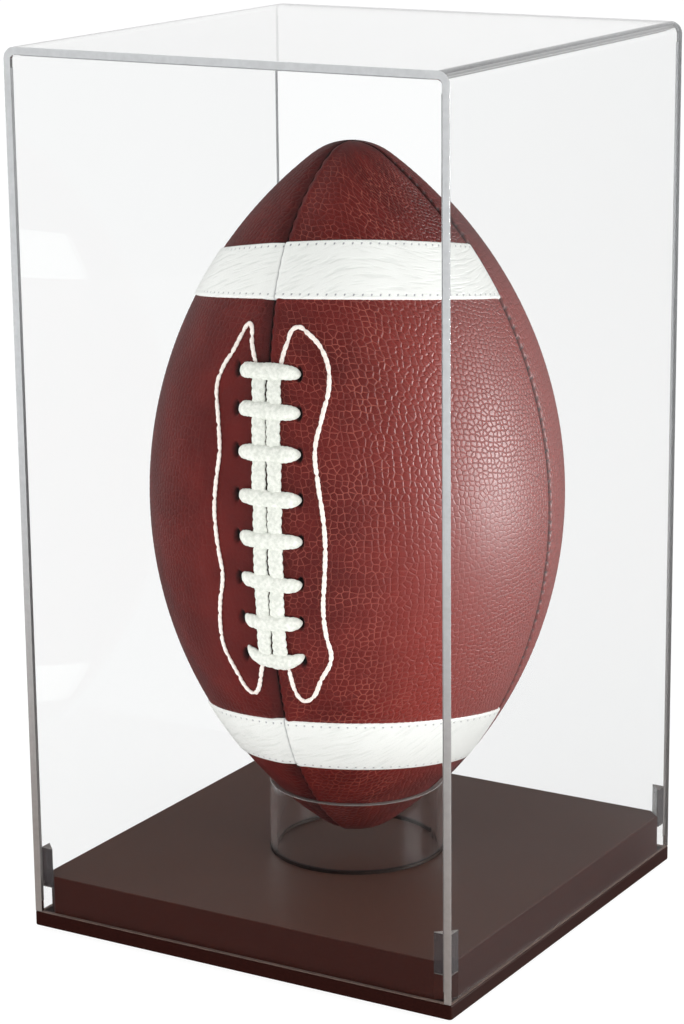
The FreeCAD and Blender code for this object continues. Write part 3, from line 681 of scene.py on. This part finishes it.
def make_panel(panel, material):
    """A quarter of the ball's skin, closed by a coarse lining."""
    leans = panel_leans(PANEL_ROWS)[:, None]
    share = np.linspace(0, 1, PANEL_COLUMNS)[None, :]
    start, end = panel_seams(panel, outline(leans)[1])
    azimuth = start + (end - start) * share
    out, from_start, to_end = seam_profile(panel, azimuth, leans)
    hole = lace_holes(azimuth, leans)
    pulled = stitch_holes(panel, leans, from_start)
    outer = on_ball(azimuth, leans, out - HOLE_DEPTH * hole - STITCH_DEPTH * pulled)
    # The stitch dips share the lace holes' painted shade.
    hole = np.maximum(hole, STITCH_PAINTED_SHADE * pulled)
    shade = np.maximum(hole, seam_shade(panel, from_start, to_end))
    relief = panel_relief(panel, azimuth, leans, from_start, to_end) * (1 - hole)
    coarse = slice(None, None, LINING_STEP)
    inner = on_ball(azimuth[coarse, coarse], leans[coarse], -LEATHER)
    thing = make_skin(
        panel + "_leather",
        outer,
        inner,
        LINING_STEP,
        grain_place=hide_place(panel, azimuth, leans),
        outwards=ball_normal(azimuth, leans),
        relief=relief,
        pale=pale_creases(panel, from_start),
        shade=shade,
        rubbed=rubbed_belly(azimuth, leans),
    )
    raise_pebbles(thing)
    finish_piece(thing, material, "football", "brown_leather", panel)


# ---- white stripes ----

STRIPE_ROWS = 61
STRIPE_COLUMNS = 401
STRIPE_THICK = 0.8 * MM
STRIPE_EDGE = 0.7 * MM
STRIPE_SINK = 0.35
STRIPE_TUCK = 0.3 * MM
STRIPE_LINING = 0.4 * MM
NEEDLE_DEPTH = 0.25 * MM
NEEDLE_PITCH = 3.45 * MM
NEEDLE_INSET = 1.9 * MM
NEEDLE_RADIUS = 0.37 * MM
# Each stripe's lower and upper edge: height of its middle above the equator, how far it droops
# towards the ends, and the azimuth of its middle.
STRIPE_EDGES = {
    "upper": ((90.75 * MM, 9.3 * MM, 25.0), (111.5 * MM, 10.3 * MM, 30.0)),
    "lower": ((-101.0 * MM, 7.2 * MM, 17.0), (-77.1 * MM, 10.5 * MM, 25.0)),
}


def stripe_height(half, share, azimuth):
    """Height of a stripe at a share of the way from its lower to its upper edge."""
    lower, upper = (
        height - droop * (1 - np.cos(np.radians(azimuth - middle)))
        for height, droop, middle in STRIPE_EDGES[half]
    )
    return lower + (upper - lower) * share


def make_stripe(half, side, material):
    """A white band over one lace panel, with a row of needle holes along each border."""
    panel = "lace_panel_" + side
    across = np.linspace(0, 1, STRIPE_ROWS)[:, None]
    along = np.linspace(0, 1, STRIPE_COLUMNS)[None, :]
    middle = stripe_height(half, 0.5, 0.0)
    start, end = panel_seams(panel, middle)
    azimuth = start + (end - start) * along + 0 * across
    for _ in range(2):
        height = stripe_height(half, across, azimuth)
        start, end = panel_seams(panel, height)
        azimuth = start + (end - start) * along
    lean = lean_at_height(height)
    out, from_start, to_end = seam_profile(panel, azimuth, lean)
    out = STRIPE_SINK * out
    low, high = (stripe_height(half, share, azimuth) for share in (0, 1))
    from_low = (height - low) / np.cos(lean)
    to_high = (high - height) / np.cos(lean)
    border = np.minimum(from_low, to_high)
    thick = (STRIPE_THICK + STRIPE_TUCK) * rounded(border / STRIPE_EDGE) - STRIPE_TUCK
    length = azimuth * np.radians(1) * outline(lean)[0]
    spread = np.hypot(to_nearest(length, NEEDLE_PITCH), border - NEEDLE_INSET)
    hole = 1 - smooth(0.6 * NEEDLE_RADIUS, 1.3 * NEEDLE_RADIUS, spread)
    # Painted shade along the seam line, stored with the needle holes' painted shade as hole.
    seam = 0.6 * np.exp(-((np.minimum(from_start, to_end) / SEAM_LINE) ** 2))
    hole = np.maximum(hole, seam)
    outer = on_ball(azimuth, lean, out + thick - NEEDLE_DEPTH * hole)
    inner = on_ball(azimuth, lean, out - STRIPE_LINING)
    place = hide_place(panel, azimuth, lean)
    thing = make_skin(f"{half}_stripe_{side}_band", outer, inner, 1, grain_place=place, hole=hole)
    finish_piece(thing, material, "football", "white_stripe", f"{half}_stripe_{side}")


# ---- edges of the acrylic, and the ball's valve ----

SHEET = 3.0 * MM
BEND = 5.0 * MM
FROST = 0.2 * MM
INSET = 0.06 * MM
BELOW_ROUND = 0.32 * MM
SAWN_INSET = 0.1 * MM
RING_WALL = 2.5 * MM
RIM_INSET = 0.3 * MM
RIM_DEPTHS = (0.12 * MM, 0.4 * MM)
# Height of the painted shade layer in the ring's foot, above the platform.
FOOT_BAND = 1.2 * MM
RING_POINTS = 96
# Below this height the edges are painted darker towards the bottom, a painted reflection of the dark base;
# from this height up they keep the pale colour of the white room.
CLEAR_OF_BASE = 0.24


def frost_material(name, base_reflection_colour, colour, share):
    """Sawn or cemented acrylic that scatters light, painted darker low down as a painted reflection of the
    dark base.
    """
    material, graph = new_material(name, Roughness=0.7, Specular_IOR_Level=0.2, Alpha=share)
    place = graph.object_place()
    cuts = graph.noise(place, 500.0)
    height = graph.node("ShaderNodeSeparateXYZ", Vector=place).outputs["Z"]
    graded = graph.mix(graph.between(height, 0.0, CLEAR_OF_BASE), base_reflection_colour, colour)
    darker = graph.mix(0.2, graded, (0.0, 0.0, 0.0, 1))
    graph.paint(Base_Color=graph.mix(cuts, darker, graded))
    return material


def slab(low, high):
    """Vertices and faces of a box."""
    levels = [(low[axis], high[axis]) for axis in range(3)]
    vertices = np.array([(x, y, z) for z in levels[2] for y in levels[1] for x in levels[0]])
    faces = [(0, 2, 3, 1), (4, 5, 7, 6), (0, 1, 5, 4), (2, 6, 7, 3), (0, 4, 6, 2), (1, 3, 7, 5)]
    return vertices, faces


def wrap_edge(low, high, front):
    """A thin layer just inside a cut edge of the bent sheet, from a depth back."""
    half = (high.x - low.x) / 2

    def path(inset, radius):
        reach, top = half - inset, high.z - inset
        turn = np.linspace(0, np.pi / 2, 9)
        bend = (reach - radius + radius * np.cos(turn), top - radius + radius * np.sin(turn))
        side = np.concatenate([[[reach, low.z + INSET]], np.stack(bend, axis=-1)])
        return np.concatenate([side, side[::-1] * (-1, 1)])

    outer, inner = path(INSET, BEND - INSET), path(SHEET - INSET, BEND - SHEET + INSET)
    loop = np.concatenate([outer, inner[::-1]])
    count = len(loop)
    vertices = np.array([(x, y, z) for y in (front, front + FROST) for x, z in loop])
    faces = []
    for a in range(count):
        b = (a + 1) % count
        faces.append((a, b, b + count, a + count))
    for a in range(len(outer) - 1):
        quad = (a, count - 1 - a, count - 2 - a, a + 1)
        faces += [quad, tuple(i + count for i in quad[::-1])]
    return vertices, faces


def block_layer(name, low, high):
    """A layer of a corner block between two heights over its foot, just inside its three sides."""
    near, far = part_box(name)
    sign_x, sign_y = (math.copysign(1, near[axis] + far[axis]) for axis in (0, 1))
    x = (far.x if sign_x > 0 else near.x) - sign_x * SAWN_INSET
    y = (far.y if sign_y > 0 else near.y) - sign_y * SAWN_INSET
    leg = far.x - near.x - (2 + math.sqrt(2)) * SAWN_INSET
    corners = ((x, y), (x - sign_x * leg, y), (x, y - sign_y * leg))
    vertices = np.array([corner + (near.z + z,) for z in (low, high) for corner in corners])
    return vertices, [(0, 1, 2), (3, 5, 4), (0, 3, 4, 1), (1, 4, 5, 2), (2, 5, 3, 0)]


def swept_faces(turns, points):
    """Faces of a closed section that is carried round a full circle."""
    faces = []
    for turn in range(turns):
        here, there = turn * points, (turn + 1) % turns * points
        for point in range(points):
            beside = (point + 1) % points
            faces.append((here + point, there + point, there + beside, here + beside))
    return faces


def ring_layer(radius, wall, low, high):
    """A flat layer inside the wall of the ring."""
    turn = np.linspace(0, 2 * np.pi, RING_POINTS, endpoint=False)
    corners = ((radius, low), (radius, high), (radius - wall, high), (radius - wall, low))
    vertices = np.array([(r * np.cos(t), r * np.sin(t), z) for t in turn for r, z in corners])
    return vertices, swept_faces(RING_POINTS, len(corners))


def make_edge(name, layers, material, body, slot):
    """One piece of flat-shaded layers."""
    thing = join_solids(name, layers)
    thing.data.shade_flat()
    finish_piece(thing, material, body, slot)


def make_cover_edges(frost, cement, standing, sawn):
    """What makes the clear cover readable: its cut, cemented and standing edges, and its blocks."""
    low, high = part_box("cover_wrap")
    bottom = low.z + INSET
    stands = []
    for side in (-1, 1):
        left, right = sorted((side * (high.x - INSET), side * (high.x - SHEET + INSET)))
        near, far = (left, low.y + BELOW_ROUND, bottom), (right, high.y - BELOW_ROUND, bottom + FROST)
        stands.append(slab(near, far))
    joints = []
    for panel in ("cover_front_panel", "cover_back_panel"):
        near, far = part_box(panel)
        near, far = near + Vector([INSET] * 3), far - Vector([INSET] * 3)
        stands.append(slab(near, (far.x, far.y, near.z + FROST)))
        joints.append(slab((near.x, near.y, near.z + BEND), (near.x + FROST, far.y, far.z - BEND)))
        joints.append(slab((far.x - FROST, near.y, near.z + BEND), (far.x, far.y, far.z - BEND)))
        joints.append(slab((near.x + BEND, near.y, far.z - FROST), (far.x - BEND, far.y, far.z)))
    blocks = [name for name in frame["nodes"] if name.startswith("corner_block")]
    near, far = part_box(blocks[0])
    tall = far.z - near.z
    sides = [block_layer(name, FROST + SAWN_INSET, tall - FROST - SAWN_INSET) for name in blocks]
    ends = [block_layer(name, SAWN_INSET, FROST) for name in blocks]
    ends += [block_layer(name, tall - FROST, tall - SAWN_INSET) for name in blocks]
    pieces = (
        ("block_sides", sides, sawn),
        ("block_ends", ends, frost),
        ("front_cut_edge", [wrap_edge(low, high, low.y + BELOW_ROUND)], frost),
        # The back cut edge takes the darker cement colours as painted shade.
        ("back_cut_edge", [wrap_edge(low, high, high.y - BELOW_ROUND - FROST)], cement),
        ("standing_edges", stands, standing),
        ("cement_lines", joints, cement),
    )
    for name, layers, material in pieces:
        make_edge(name, layers, material, "cover", "clear_acrylic")


def make_ring_edges(frost, shade):
    """The ring's sawn rim, and a dark layer in its foot: painted shade where the ring stands in its groove.
    """
    radius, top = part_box("support_ring")[1].xz
    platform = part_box("base_platform")[1].z
    shallow, deep = RIM_DEPTHS
    rim_layer = ring_layer(radius - RIM_INSET, RING_WALL - 2 * RIM_INSET, top - deep, top - shallow)
    foot = ring_layer(radius - INSET, RING_WALL - 2 * INSET, platform - FROST, platform + FOOT_BAND)
    make_edge("ring_rim", [rim_layer], frost, "ring", "ring_acrylic")
    make_edge("ring_foot_shade", [foot], shade, "ring", "ring_acrylic")


VALVE_AZIMUTH = 146.0
# Millimetres from the valve's middle and off the leather, from the needle hole outwards.
VALVE_PROFILE = ((0.6, -1.2), (0.6, 0.3), (1.1, 0.55), (2.4, 0.5), (3.2, 0.2), (3.4, -0.3), (3.4, -1.2))
VALVE_POINTS = 40


def make_valve(material):
    """The domed rubber button that the pump's needle goes into."""
    middle = on_ball(VALVE_AZIMUTH, 0.0)
    outwards = ball_normal(VALVE_AZIMUTH, 0.0)
    sideways = np.cross(outwards, (0, 0, 1))
    rings = []
    for turn in np.linspace(0, 2 * np.pi, VALVE_POINTS, endpoint=False):
        spoke = sideways * np.cos(turn) + np.array((0, 0, 1)) * np.sin(turn)
        rings.append([middle + (spoke * reach + outwards * rise) * MM for reach, rise in VALVE_PROFILE])
    vertices = np.array(rings).reshape(-1, 3)
    thing = new_object("valve_button", vertices, swept_faces(VALVE_POINTS, len(VALVE_PROFILE)))
    finish_piece(thing, material, "football", "bladder_rubber", "inflation_valve")


# ---- laces and thread ----

BAR_WIDTH = 6.2 * MM
BAR_THICK = 3.0 * MM
STRIP_WIDTH = 5.7 * MM
STRIP_THICK = 2.0 * MM
STRIP_GAP = 0.5 * MM
BRAID_PITCH = 3.6 * MM
BRAID_SWELL = 0.07
# How bluntly a bar's left and right ends are rounded, how high it lies and how far its ends dive.
BAR_BLUNTNESS = (5.0, 4.5)
BAR_LIFT = 2.0 * MM
BAR_DIVE = 2.6 * MM
LAST_BAR_SMILE = 2.6 * MM
STRIP_LIFT = 1.5 * MM
STRIP_BULGE = 0.35 * MM
SECTION_POINTS = 24


def beside_laces(across, height, out):
    """Points beside the lace seam, and the directions up and out there."""
    lean = lean_at_height(height)
    azimuth = lace_seam(height) + np.degrees(across / outline(lean)[0])
    outwards = ball_normal(azimuth, lean)
    turn = np.radians(azimuth)
    sideways = np.stack([np.cos(turn), np.sin(turn), 0 * turn], axis=-1)
    return on_ball(azimuth, lean, out), np.cross(outwards, sideways), outwards


def tube(centres, firsts, seconds, braid=0.0):
    """A closed tube: at each centre, half-axis vectors span its section, which a braid roughens."""
    angles = np.linspace(0, 2 * np.pi, SECTION_POINTS, endpoint=False)
    cosines, sines = np.cos(angles)[None, :, None], np.sin(angles)[None, :, None]
    along = lengths_along(np.linalg.norm(np.diff(centres, axis=0), axis=1))
    turn = (2 * np.pi / BRAID_PITCH * along)[:, None]
    strands = np.maximum(np.sin(3 * angles + turn), np.sin(3 * angles - turn))
    swell = 1 + braid * strands[:, :, None]
    rings = centres[:, None] + (firsts[:, None] * cosines + seconds[:, None] * sines) * swell
    faces = []
    last = (len(centres) - 1) * SECTION_POINTS
    for first in range(0, last, SECTION_POINTS):
        for point in range(SECTION_POINTS):
            a, b = first + point, first + (point + 1) % SECTION_POINTS
            faces.append((a, b, b + SECTION_POINTS, a + SECTION_POINTS))
    faces.append(tuple(range(SECTION_POINTS))[::-1])
    faces.append(tuple(range(last, last + SECTION_POINTS)))
    return rings.reshape(-1, 3), faces


def join_solids(name, solids):
    """One object made of several closed solids."""
    vertices, faces = [], []
    for points, quads in solids:
        shift = sum(len(v) for v in vertices)
        vertices.append(points)
        faces += [tuple(i + shift for i in face) for face in quads]
    return new_object(name, np.concatenate(vertices), faces)


def lace_bar(height, dice, smile):
    """One stretch of lace across the seam, its ends turned down into their holes."""
    t = np.linspace(-1, 1, 91)
    tilt, sway = dice.uniform(-0.5, 0.5) * MM, dice.uniform(-0.35, 0.35) * MM
    across = bar_reach(height) * t
    middle = height + tilt * t + sway * np.sin(2.2 * t) + smile * t**2
    left, right = BAR_BLUNTNESS
    ends = np.sqrt(np.clip(1 - np.abs(t) ** np.where(t > 0, right, left), 0.02, 1))
    breathing = 1 + 0.05 * np.sin(7 * t + dice.uniform(0, 6))
    width = BAR_WIDTH / 2 * ends * breathing
    thick = BAR_THICK / 2 * np.sqrt(np.clip(1 - np.abs(t) ** 8, 0.05, 1))
    out = BAR_LIFT - BAR_DIVE * np.abs(t) ** 4
    centres, upwards, outwards = beside_laces(across, middle, out)
    return tube(centres, upwards * width[:, None], outwards * thick[:, None], BRAID_SWELL)


def lace_strip(side, dice):
    """One long stretch of lace along the seam, bulging a little between the bars."""
    top, bottom = BAR_HEIGHTS[0], BAR_HEIGHTS[-1]
    height = np.linspace(top, bottom, 361)
    phase = dice.uniform(0, 6)
    wave = 0.22 * np.sin(height / (5.5 * MM) + phase) + 0.12 * np.sin(height / (2.1 * MM) + 2 * phase)
    across = side * (STRIP_WIDTH + STRIP_GAP) / 2 + wave * MM * 0.5
    width = STRIP_WIDTH / 2 * (1 + 0.04 * np.sin(height / (3.1 * MM) + phase))
    nearest = np.min([np.abs(height - bar) for bar in BAR_HEIGHTS], axis=0)
    out = STRIP_LIFT + STRIP_BULGE * smooth(2 * MM, 7 * MM, nearest)
    centres, upwards, outwards = beside_laces(across, height, out)
    leftwards = np.cross(outwards, upwards)
    return tube(centres, outwards * STRIP_THICK / 2, leftwards * width[:, None], BRAID_SWELL)


# The thread beside the laces, in millimetres: distance across the seam and height above the
# equator, from the top bar round to the bottom bar.
THREAD_RIGHT = (
    (5.1, 66.0), (7.2, 73.8), (10.8, 80.5), (15.9, 78.4), (22.4, 71.3), (24.6, 61.4), (22.0, 49.0),
    (19.1, 36.8), (20.0, 24.0), (21.7, 11.1), (22.4, 0.0), (22.0, -11.1), (21.0, -27.3),
    (21.7, -37.0), (23.0, -46.7), (18.6, -56.0), (11.9, -66.6), (9.5, -66.4), (5.0, -50.5),
)
THREAD_LEFT = (
    (-4.9, 65.0), (-7.7, 73.0), (-9.6, 80.3), (-10.7, 79.9), (-16.5, 70.5), (-21.9, 63.0), (-24.3, 56.9),
    (-23.0, 44.5), (-22.1, 33.1), (-23.9, 21.5), (-25.0, 10.1), (-23.8, -3.0), (-21.7, -16.5),
    (-23.6, -27.0), (-24.7, -37.7), (-24.0, -47.0), (-20.1, -55.5), (-12.7, -66.4), (-10.7, -66.0),
    (-5.4, -51.5),
)
THREAD_WIDTH = 1.75 * MM
THREAD_RISE = 0.55 * MM
THREAD_STEP = 0.3 * MM
TWIST_PITCH = 5.2 * MM
STITCH_LENGTH = 9.5 * MM
PINCH_PLACE = 4.0 * MM
PINCH_DEPTH = 0.25 * MM
# The plies' half width and half thickness, and how far they lie apart, as shares of the thread's.
PLY_SIZE = (0.86, 0.58)
PLY_SHIFT = (0.2, 0.12)


def smooth_route(route):
    """Places along a smooth curve through a route, at even steps."""
    curve = bpy.data.curves.new("route", "CURVE")
    curve.dimensions = "3D"
    spline = curve.splines.new("BEZIER")
    spline.bezier_points.add(len(route) - 1)
    for point, (across, height) in zip(spline.bezier_points, route):
        point.co = (across, height, 0)
        point.handle_left_type = point.handle_right_type = "AUTO"
    spline.resolution_u = 24
    holder = bpy.data.objects.new("route", curve)
    line = bpy.data.meshes.new_from_object(holder)
    points = np.array([v.co[:2] for v in line.vertices]) * MM
    bpy.data.objects.remove(holder)
    bpy.data.curves.remove(curve)
    bpy.data.meshes.remove(line)
    length = lengths_along(np.hypot(*np.diff(points, axis=0).T))
    even = np.arange(0, length[-1], THREAD_STEP)
    return even, np.interp(even, length, points[:, 0]), np.interp(even, length, points[:, 1])


def twisted_thread(side, route, dice, material):
    """Two-ply thread laid along a route, pinched where its stitches dip into the leather."""
    along, across, height = smooth_route(route)
    centres, _, outwards = beside_laces(across, height, THREAD_RISE)
    run = unit(np.gradient(centres, axis=0))
    level = unit(np.cross(run, outwards))
    upright = np.cross(level, run)
    past = (along + dice.uniform(0, 5) * MM) % STITCH_LENGTH - PINCH_PLACE
    pinch = np.exp(-((past / MM) ** 2) / 0.5)
    half = (THREAD_WIDTH / 2 * (1 - 0.35 * pinch))[:, None]
    centres = centres - upright * (PINCH_DEPTH * pinch)[:, None]
    plies = []
    for start in (0, np.pi):
        turn = (2 * np.pi * along / TWIST_PITCH + start)[:, None]
        apart = level * np.cos(turn) * PLY_SHIFT[0] + upright * np.sin(turn) * PLY_SHIFT[1]
        plies.append(tube(centres + apart * half, level * half * PLY_SIZE[0], upright * half * PLY_SIZE[1]))
    thing = join_solids(f"thread_{side}", plies)
    finish_piece(thing, material, "football", "white_thread", "lace_thread_" + side)


def make_laces(lace, thread):
    """All the white cord on the ball."""
    dice = random.Random(8)
    smiles = [0.0] * (len(BAR_HEIGHTS) - 1) + [LAST_BAR_SMILE]
    bars = [lace_bar(height, dice, smile) for height, smile in zip(BAR_HEIGHTS, smiles)]
    crossing = join_solids("lace_bars", bars)
    finish_piece(crossing, lace, "football", "white_lace", "lace_cross_bars")
    lengthwise = join_solids("lace_long_strips", [lace_strip(side, dice) for side in (-1, 1)])
    finish_piece(lengthwise, lace, "football", "white_lace", "lace_strips")
    twisted_thread("left", THREAD_LEFT, dice, thread)
    twisted_thread("right", THREAD_RIGHT, dice, thread)


# ---- camera, light and stage ----

CAMERA_PLACE = (0.6172, -1.0408, 0.4842)
CAMERA_YAW = 30.944
CAMERA_DOWN = 14.685
CAMERA_ROLL = -0.61
LENS = 107.48


def make_camera():
    """A long lens to the right of the case, looking a little down."""
    data = bpy.data.cameras.new("camera")
    data.sensor_width = 36.0
    data.lens = LENS
    data.clip_start = 0.01
    camera = bpy.data.objects.new("camera", data)
    bpy.context.scene.collection.objects.link(camera)
    turn = Matrix.Rotation(math.radians(CAMERA_YAW), 4, "Z")
    tilt = Matrix.Rotation(math.radians(90 - CAMERA_DOWN), 4, "X")
    roll = Matrix.Rotation(math.radians(CAMERA_ROLL), 4, "Z")
    camera.matrix_world = Matrix.Translation(CAMERA_PLACE) @ turn @ tilt @ roll
    bpy.context.scene.camera = camera


# Brightness of the room: what the camera sees, what reflections see in front and behind, what
# reflections inside the acrylic keep of that, and what lights matt surfaces.
SEEN_WHITE = 1.25
REFLECTED_FRONT = 0.07
REFLECTED_FLOOR_BACK = 0.6
REFLECTED_BACK = 1.3
BACK_AZIMUTH = 222.0
INNER_SHARE = 0.3
LIT_SIDES = 1.2
LIT_TOP = 0.65
FLOOR_WHITE = 0.93
FLOOR_LIT = 1.3
FLOOR_REACH = 40.0


def room_level(graph, seen, reflected, lit):
    """Brightness of the white room: as seen, in reflections, and as light on matt surfaces."""
    path = graph.node("ShaderNodeLightPath")
    inside = graph.math("GREATER_THAN", path.outputs["Transmission Depth"], 0.5)
    once = graph.math("LESS_THAN", path.outputs["Glossy Depth"], 1.5)
    dimmed = graph.times(inside, once, 1 - INNER_SHARE)
    reflected = graph.times(reflected, graph.math("SUBTRACT", 1.0, dimmed))
    glossy = graph.math("GREATER_THAN", path.outputs["Glossy Depth"], 0.5)
    diffuse = graph.math("GREATER_THAN", path.outputs["Diffuse Depth"], 0.5)
    level = seen
    for share, wanted in ((glossy, reflected), (diffuse, lit)):
        step = graph.times(share, graph.math("SUBTRACT", wanted, level))
        level = graph.math("ADD", level, step)
    return level


def reflected_level(graph, direction, back):
    """What reflections see: a dim room in front of the case, and a bright one behind it."""
    turn = math.radians(BACK_AZIMUTH)
    towards = graph.vector("DOT_PRODUCT", direction, (math.sin(turn), -math.cos(turn), 0.0))
    return graph.between(towards, -0.1, 0.75, REFLECTED_FRONT, back)


def make_room():
    """A white room: the world's even light, and a floor with a faint contact shadow."""
    world = bpy.data.worlds.new("room")
    bpy.context.scene.world = world
    world.use_nodes = True
    world.node_tree.nodes.clear()
    graph = Graph(world.node_tree)
    direction = graph.node("ShaderNodeTexCoord").outputs["Generated"]
    wall = reflected_level(graph, direction, REFLECTED_BACK)
    upwards = graph.vector("DOT_PRODUCT", direction, (0.0, 0.0, 1.0))
    lit = graph.between(upwards, 0.0, 1.0, LIT_SIDES, LIT_TOP)
    level = room_level(graph, SEEN_WHITE, wall, lit)
    background = graph.node("ShaderNodeBackground", Strength=level)
    graph.node("ShaderNodeOutputWorld", Surface=background.outputs[0])
    world.cycles.sampling_method = "NONE"

    grey, white = (0.16, 0.16, 0.16, 1), (1, 1, 1, 1)
    material, graph = new_material(
        "floor", Base_Color=grey, Roughness=1.0, Specular_IOR_Level=0.0, Emission_Color=white
    )
    direction = graph.vector("NORMALIZE", graph.object_place())
    level = reflected_level(graph, direction, REFLECTED_FLOOR_BACK)
    graph.paint(Emission_Strength=room_level(graph, FLOOR_WHITE, level, FLOOR_LIT))
    material.cycles.emission_sampling = "NONE"
    corners = [(FLOOR_REACH * x, FLOOR_REACH * y, 0) for x, y in ((-1, -1), (1, -1), (1, 1), (-1, 1))]
    floor = new_object("floor", corners, [(0, 1, 2, 3)], shade_smooth=False)
    dress(floor, material)


def softbox(name, azimuth, elevation, distance, width, height, power, mirrored):
    """An area light that faces the ball: it makes highlights if mirrored, and even light if not."""
    data = bpy.data.lights.new(name, "AREA")
    data.shape = "RECTANGLE"
    data.size, data.size_y = width, height
    data.energy = power
    light = bpy.data.objects.new(name, data)
    bpy.context.scene.collection.objects.link(light)
    target = Vector((0, 0, BALL_CENTRE))
    turn, rise = math.radians(azimuth), math.radians(elevation)
    level = math.cos(rise)
    outwards = Vector((math.sin(turn) * level, -math.cos(turn) * level, math.sin(rise)))
    light.location = target + outwards * distance
    light.rotation_euler = outwards.to_track_quat("Z", "Y").to_euler()
    light.visible_camera = light.visible_transmission = False
    light.visible_glossy = mirrored
    light.visible_diffuse = not mirrored


def make_lights():
    """Softboxes that show in reflections, and fills that only light."""
    softbox("right_softbox", 108, 0, 1.1, 0.5, 0.55, 63, mirrored=True)
    softbox("left_softbox", -114, -2, 1.6, 0.8, 0.9, 7, mirrored=True)
    softbox("high_left_softbox", -95, 52, 1.6, 0.9, 0.9, 4.5, mirrored=True)
    softbox("right_fill", 100, -2, 1.3, 0.8, 0.8, 17, mirrored=False)
    softbox("left_fill", -45, -2, 1.6, 0.8, 0.8, 8, mirrored=False)
    softbox("front_fill", 10, -2, 1.5, 1.2, 0.5, 6, mirrored=False)


def set_look():
    """Plain colours, and enough bounces for light to cross every sheet of acrylic."""
    scene = bpy.context.scene
    scene.view_settings.view_transform = "Standard"
    scene.render.film_transparent = False
    cycles = scene.cycles
    cycles.max_bounces = cycles.glossy_bounces = 100
    cycles.transmission_bounces = cycles.transparent_max_bounces = 40
    cycles.diffuse_bounces = 3
    cycles.caustics_reflective = cycles.caustics_refractive = True
    cycles.blur_glossy = 0.0


# ---- the whole scene ----


def dress_nodes():
    """Better materials for the nodes that keep their own shapes."""
    browns = ((0.016, 0.0026, 0.0018, 1), (0.021, 0.0036, 0.0025, 1))
    platform_browns = ((0.028, 0.0052, 0.0034, 1), (0.036, 0.0072, 0.0048, 1))
    by_slot = {
        "clear_acrylic": acrylic_material("clear_acrylic", (0.992, 0.996, 0.996, 1)),
        "plate_finish": lacquer_material("plate_finish", *browns, 0.36),
        # The platform's top gets painted light and sheen; the plate gets none.
        "platform_finish": lacquer_material("platform_finish", *platform_browns, 0.36, 0.5),
        "screw_steel": steel_material(),
        "foot_rubber": rubber_material("foot_rubber", (0.02, 0.02, 0.02, 1)),
        "ring_acrylic": acrylic_material("ring_acrylic", (0.985, 0.99, 0.99, 1)),
        "bladder_rubber": rubber_material("bladder_rubber", (0.015, 0.015, 0.015, 1)),
    }
    for entry in frame["record"]["subparts"]:
        if entry["material_slot"] in by_slot:
            dress(frame["nodes"][entry["node"]], by_slot[entry["material_slot"]])
    return by_slot


make_camera()
make_room()
make_lights()
set_look()
finishes = dress_nodes()
leather = leather_material()
for name in PANELS:
    make_panel(name, leather)
white = stripe_material()
for half in ("upper", "lower"):
    for side in ("left", "right"):
        make_stripe(half, side, white)
# Each cotton's first colour is painted light on the raised knots, its second painted shade between them.
make_laces(
    cotton_material("white_lace", (0.77, 0.78, 0.72, 1), (0.62, 0.64, 0.58, 1), 700.0),
    cotton_material("white_thread", (0.90, 0.84, 0.78, 1), (0.80, 0.70, 0.64, 1), 900.0),
)
make_valve(finishes["bladder_rubber"])
# Each edge's first colour is its painted reflection of the dark base low down. The standing edges are
# painted brown and the block sides dark grey, painted reflections of the base seen through them.
cut_edge = frost_material("cut_edge", (0.36, 0.32, 0.30, 1), (0.70, 0.71, 0.72, 1), 0.8)
make_cover_edges(
    cut_edge,
    frost_material("cement_line", (0.22, 0.20, 0.19, 1), (0.46, 0.47, 0.48, 1), 0.8),
    frost_material("standing_edge", (0.42, 0.29, 0.24, 1), (0.42, 0.29, 0.24, 1), 0.6),
    frost_material("sawn_side", (0.07, 0.055, 0.058, 1), (0.14, 0.13, 0.13, 1), 0.5),
)
# A dark layer in the ring's foot: painted shade where the ring stands in its groove.
groove = lacquer_material("painted_groove_shade", (0.010, 0.0030, 0.0020, 1), (0.013, 0.0040, 0.0026, 1), 0.6)
make_ring_edges(cut_edge, groove)
